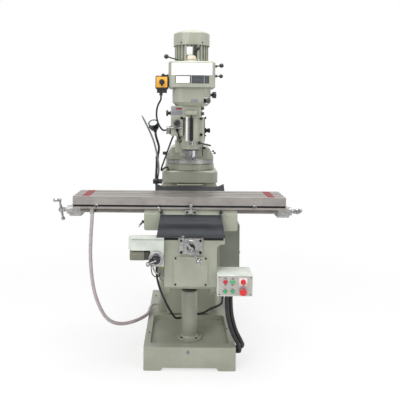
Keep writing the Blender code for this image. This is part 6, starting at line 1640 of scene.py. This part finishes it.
@dataclass
class DriveHousing:
    """Gear and belt housings with their plates, the drum switch and the motor."""

    bow: tuple[tuple[float, float], ...] = ((0.0, -0.470), (0.0784, -0.46335), (0.1254, -0.4464))
    belt_top: float = 1.850
    motor_y: float = -0.245
    motor_radius: float = 0.108
    cap_radius: float = 0.116
    cap_screw_z: float = 1.977
    drawbar: tuple[float, float] = (-0.002, -0.4030)
    switch_front: float = -0.445
    switch: tuple[float, float, float, float] = (-0.2198, -0.1428, 1.680, 1.760)

    def face(self, x: float) -> float:
        """Where the bowed front stands at a place across it. It is rolled in flats with bends between."""
        for (near, y_near), (far, y_far) in zip(self.bow, self.bow[1:]):
            if abs(x) <= far:
                return y_near + (y_far - y_near) * (abs(x) - near) / (far - near)
        return self.bow[-1][1]

    def bowed_plate(self, name: str, x: tuple[float, float], z: tuple[float, float], lift: float,
                    thick: float, finish: Finish) -> bpy.types.Object:
        """A thin plate bent to the bowed front.

        Args:
            name: the piece's name.
            x: its left and right.
            z: its bottom and top.
            lift: how far its back stands off the face.
            thick: its thickness.
            finish: what its surface is.

        Returns:
            The plate.
        """
        columns = 48
        across = [x[0] + (x[1] - x[0]) * i / columns for i in range(columns + 1)]
        rows = [[Vector((place, self.face(place) - lift, height)) for place in across] for height in z]
        return Form().skin(rows, thick, Vector((0, -1, 0))).made(name, finish, "head", 50)

    def plates(self) -> list[bpy.types.Object]:
        """The bare name plate, and three bare chart plates below it."""
        plates = [("name_plate", (-0.1235, 0.1235), (1.7650, 1.8385), 0.0006, 0.0012, PLATE_WHITE),
                  ("chart_frame", (-0.1000, -0.0070), (1.7150, 1.7600), 0.0006, 0.0010, PLATE_DARK),
                  ("chart_sheet", (-0.0960, -0.0130), (1.7165, 1.7570), 0.0015, 0.0005, PLATE_WHITE),
                  ("speed_chart", (-0.0010, 0.0710), (1.7150, 1.7600), 0.0006, 0.0010, PLATE_DARK),
                  ("range_chart", (0.0760, 0.1040), (1.7150, 1.7600), 0.0006, 0.0010, PLATE_DARK)]
        for i in range(5):
            z = 1.7225 + 0.0075 * i
            plates.append((f"speed_chart_line_{i}", (0.0030, 0.0670), (z, z + 0.0012), 0.0017, 0.0003,
                           PLATE_GREY))
        made = [self.bowed_plate(*plate) for plate in plates]
        small = Form().slab((-0.0060, -0.4412, 1.600), (0.0380, -0.4396, 1.620), 0.0003)
        made.append(small.made("gear_label", PLATE_GREY, "head"))
        return made

    def gear_knobs(self) -> list[bpy.types.Object]:
        """The back-gear knob on its bright disc, at the housing's front right corner."""
        at = Vector((0.088, -0.428, 1.612))
        way = Vector((0.45, -0.89, 0.0)).normalized()
        disc = Form().turned([(0, -0.006), (0.021, -0.006), (0.021, 0.002), (0.019, 0.0035), (0, 0.0035)], at,
                             way, 32)
        knob = Form().turned([(0, 0), (0.008, 0), (0.008, 0.010), (0.014, 0.012), (0.0155, 0.016),
                              (0.0155, 0.026), (0.012, 0.030), (0, 0.030)], at + way * 0.003, way, 24)
        return [disc.made("back_gear_disc", CHROME_WITH_PAINTED_REFLECTION, "head"), knob.made("back_gear_knob", KNOB_BLACK, "head")]

    def drum_switch(self) -> list[bpy.types.Object]:
        """The switch's yellow face plate with its ring of marks."""
        left, right, low, high = self.switch
        y = self.switch_front
        plate = Form().slab((left + 0.005, y - 0.0009, low + 0.010),
                            (right - 0.006, y + 0.0004, high - 0.006), 0.0004)
        marks = Form()
        cx, cz = (left + right) / 2, low + 0.0424
        for i in range(7):
            a = math.radians(-30 + 40 * i)
            centre = Vector((cx + 0.0255 * math.cos(a), y - 0.0009, cz + 0.0255 * math.sin(a)))
            marks.slab(centre - Vector((0.0022, 0.0004, 0.0006)), centre + Vector((0.0022, 0.0002, 0.0006)))
        return [plate.made("switch_plate", YELLOW, "head"), marks.made("switch_marks", BLACK_STEEL, "head")]

    def motor(self) -> list[bpy.types.Object]:
        """Cover screws and vent grille, bare rating plate, cable strap and the drawbar's cap."""
        screws = Form()
        for deg in (-125, -55, 55, 125):
            a = math.radians(deg)
            out = Vector((math.cos(a), math.sin(a), 0))
            place = Vector((0, self.motor_y, self.cap_screw_z)) + out * (self.cap_radius - 0.0008)
            screws.socket_screw(place, out, 0.0045, 0.003)
        vents = Form()
        for ring, top, shift in ((0.030, 2.0612, 0.0), (0.048, 2.0600, 0.5), (0.066, 2.0585, 0.0)):
            for i in range(20):
                a = math.tau * (i + shift) / 20
                place = (ring * math.cos(a), self.motor_y + ring * math.sin(a), top - 0.0006)
                vents.turned([(0, 0), (0.0030, 0), (0.0030, 0.0009), (0, 0.0009)], place, Axis.UP.value, 8)
        front = self.motor_y - self.motor_radius
        pad = Form().slab((-0.034, front - 0.0035, 1.893), (0.008, front + 0.012, 1.952), 0.002)
        plate = Form().slab((-0.031, front - 0.0046, 1.898), (0.003, front - 0.0033, 1.947), 0.0005)
        strap = Form().slab((0.010, front - 0.0045, 1.868), (0.026, front + 0.010, 1.968), 0.002)
        drawbar = (*self.drawbar, self.belt_top - 0.0003)
        cap = Form().turned([(0, 0), (0.034, 0), (0.034, 0.012), (0.029, 0.018), (0.026, 0.034),
                             (0.022, 0.037), (0, 0.037)], drawbar, Axis.UP.value, 40)
        cap_ring = Form().turned([(0.0342, 0.0125), (0.0356, 0.0125), (0.0356, 0.0165), (0.0320, 0.0165),
                                  (0.0342, 0.0125)], drawbar, Axis.UP.value, 40)
        cap_ring.bar((0.040, -0.400, self.belt_top - 0.001), (0.040, -0.400, self.belt_top + 0.016), 0.009)
        return [screws.made("fan_cover_screws", BLACK_STEEL, "head"),
                vents.made("fan_cover_vents", KNOB_BLACK, "head"),
                pad.made("motor_pad", ENAMEL, "head"), plate.made("rating_plate", PLATE_WHITE, "head"),
                strap.made("motor_lead", KNOB_BLACK, "head"), cap.made("drawbar_cap", CREAM, "head"),
                cap_ring.made("drawbar_ring", SATIN, "head")]

    def lever_balls(self) -> list[bpy.types.Object]:
        """The moulded balls on the ends of the housing's four moving levers."""
        balls = []
        for node, centre, radius in (("motor_lever", (0.0340, -0.4175, 1.9320), 0.0145),
                                     ("brake_lever", (-0.1569, -0.4047, 1.8812), 0.0145),
                                     ("right_upper_lever", (0.1829, -0.3858, 1.8299), 0.0138),
                                     ("right_lower_lever", (0.1790, -0.4039, 1.7631), 0.0122)):
            body = frame["nodes"][node]["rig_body"]
            balls.append(Form().ball(centre, radius).made(f"{node}_ball", KNOB_BLACK, body))
        return balls

    def left_lever(self) -> bpy.types.Object:
        """The fixed back-gear lever on the belt housing's left side."""
        start = Vector((-0.1425, -0.392, 1.765))
        form = Form().bar(start, start + Vector((-0.028, -0.003, 0.002)), 0.0042)
        form.stud(start, Axis.LEFT.value, (0.0085, 0.010), (0.006, 0.012), 20)
        form.ball(start + Vector((-0.034, -0.0035, 0.0025)), 0.0105)
        return form.made("left_lower_lever", KNOB_BLACK, "head")

    def build(self) -> None:
        """Dress the drive housings, switch and motor."""
        dress_node(ENAMEL, "gear_housing", "belt_housing", "motor_body", "fan_cover")
        dress_node(KNOB_BLACK, "drum_switch", "switch_knob", "motor_lever", "brake_lever",
                   "right_upper_lever", "right_lower_lever", "gear_knob")
        made = [*self.plates(), *self.gear_knobs(), *self.drum_switch(), *self.motor(), self.left_lever(),
                *self.lever_balls()]
        report("drive housing", made)


def main() -> None:
    """Build the studio and every sub-assembly in order."""
    logging.basicConfig(level=logging.INFO, format="%(message)s")
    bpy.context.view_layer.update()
    Studio().build()
    Hoses().build()
    Base().build()
    Column().build()
    Knee().build()
    ControlBox().build()
    SaddleAndTable().build()
    TurretAndRam().build()
    Head().build()
    DriveHousing().build()
    bpy.context.view_layer.update()


if __name__ == "__main__":
    main()
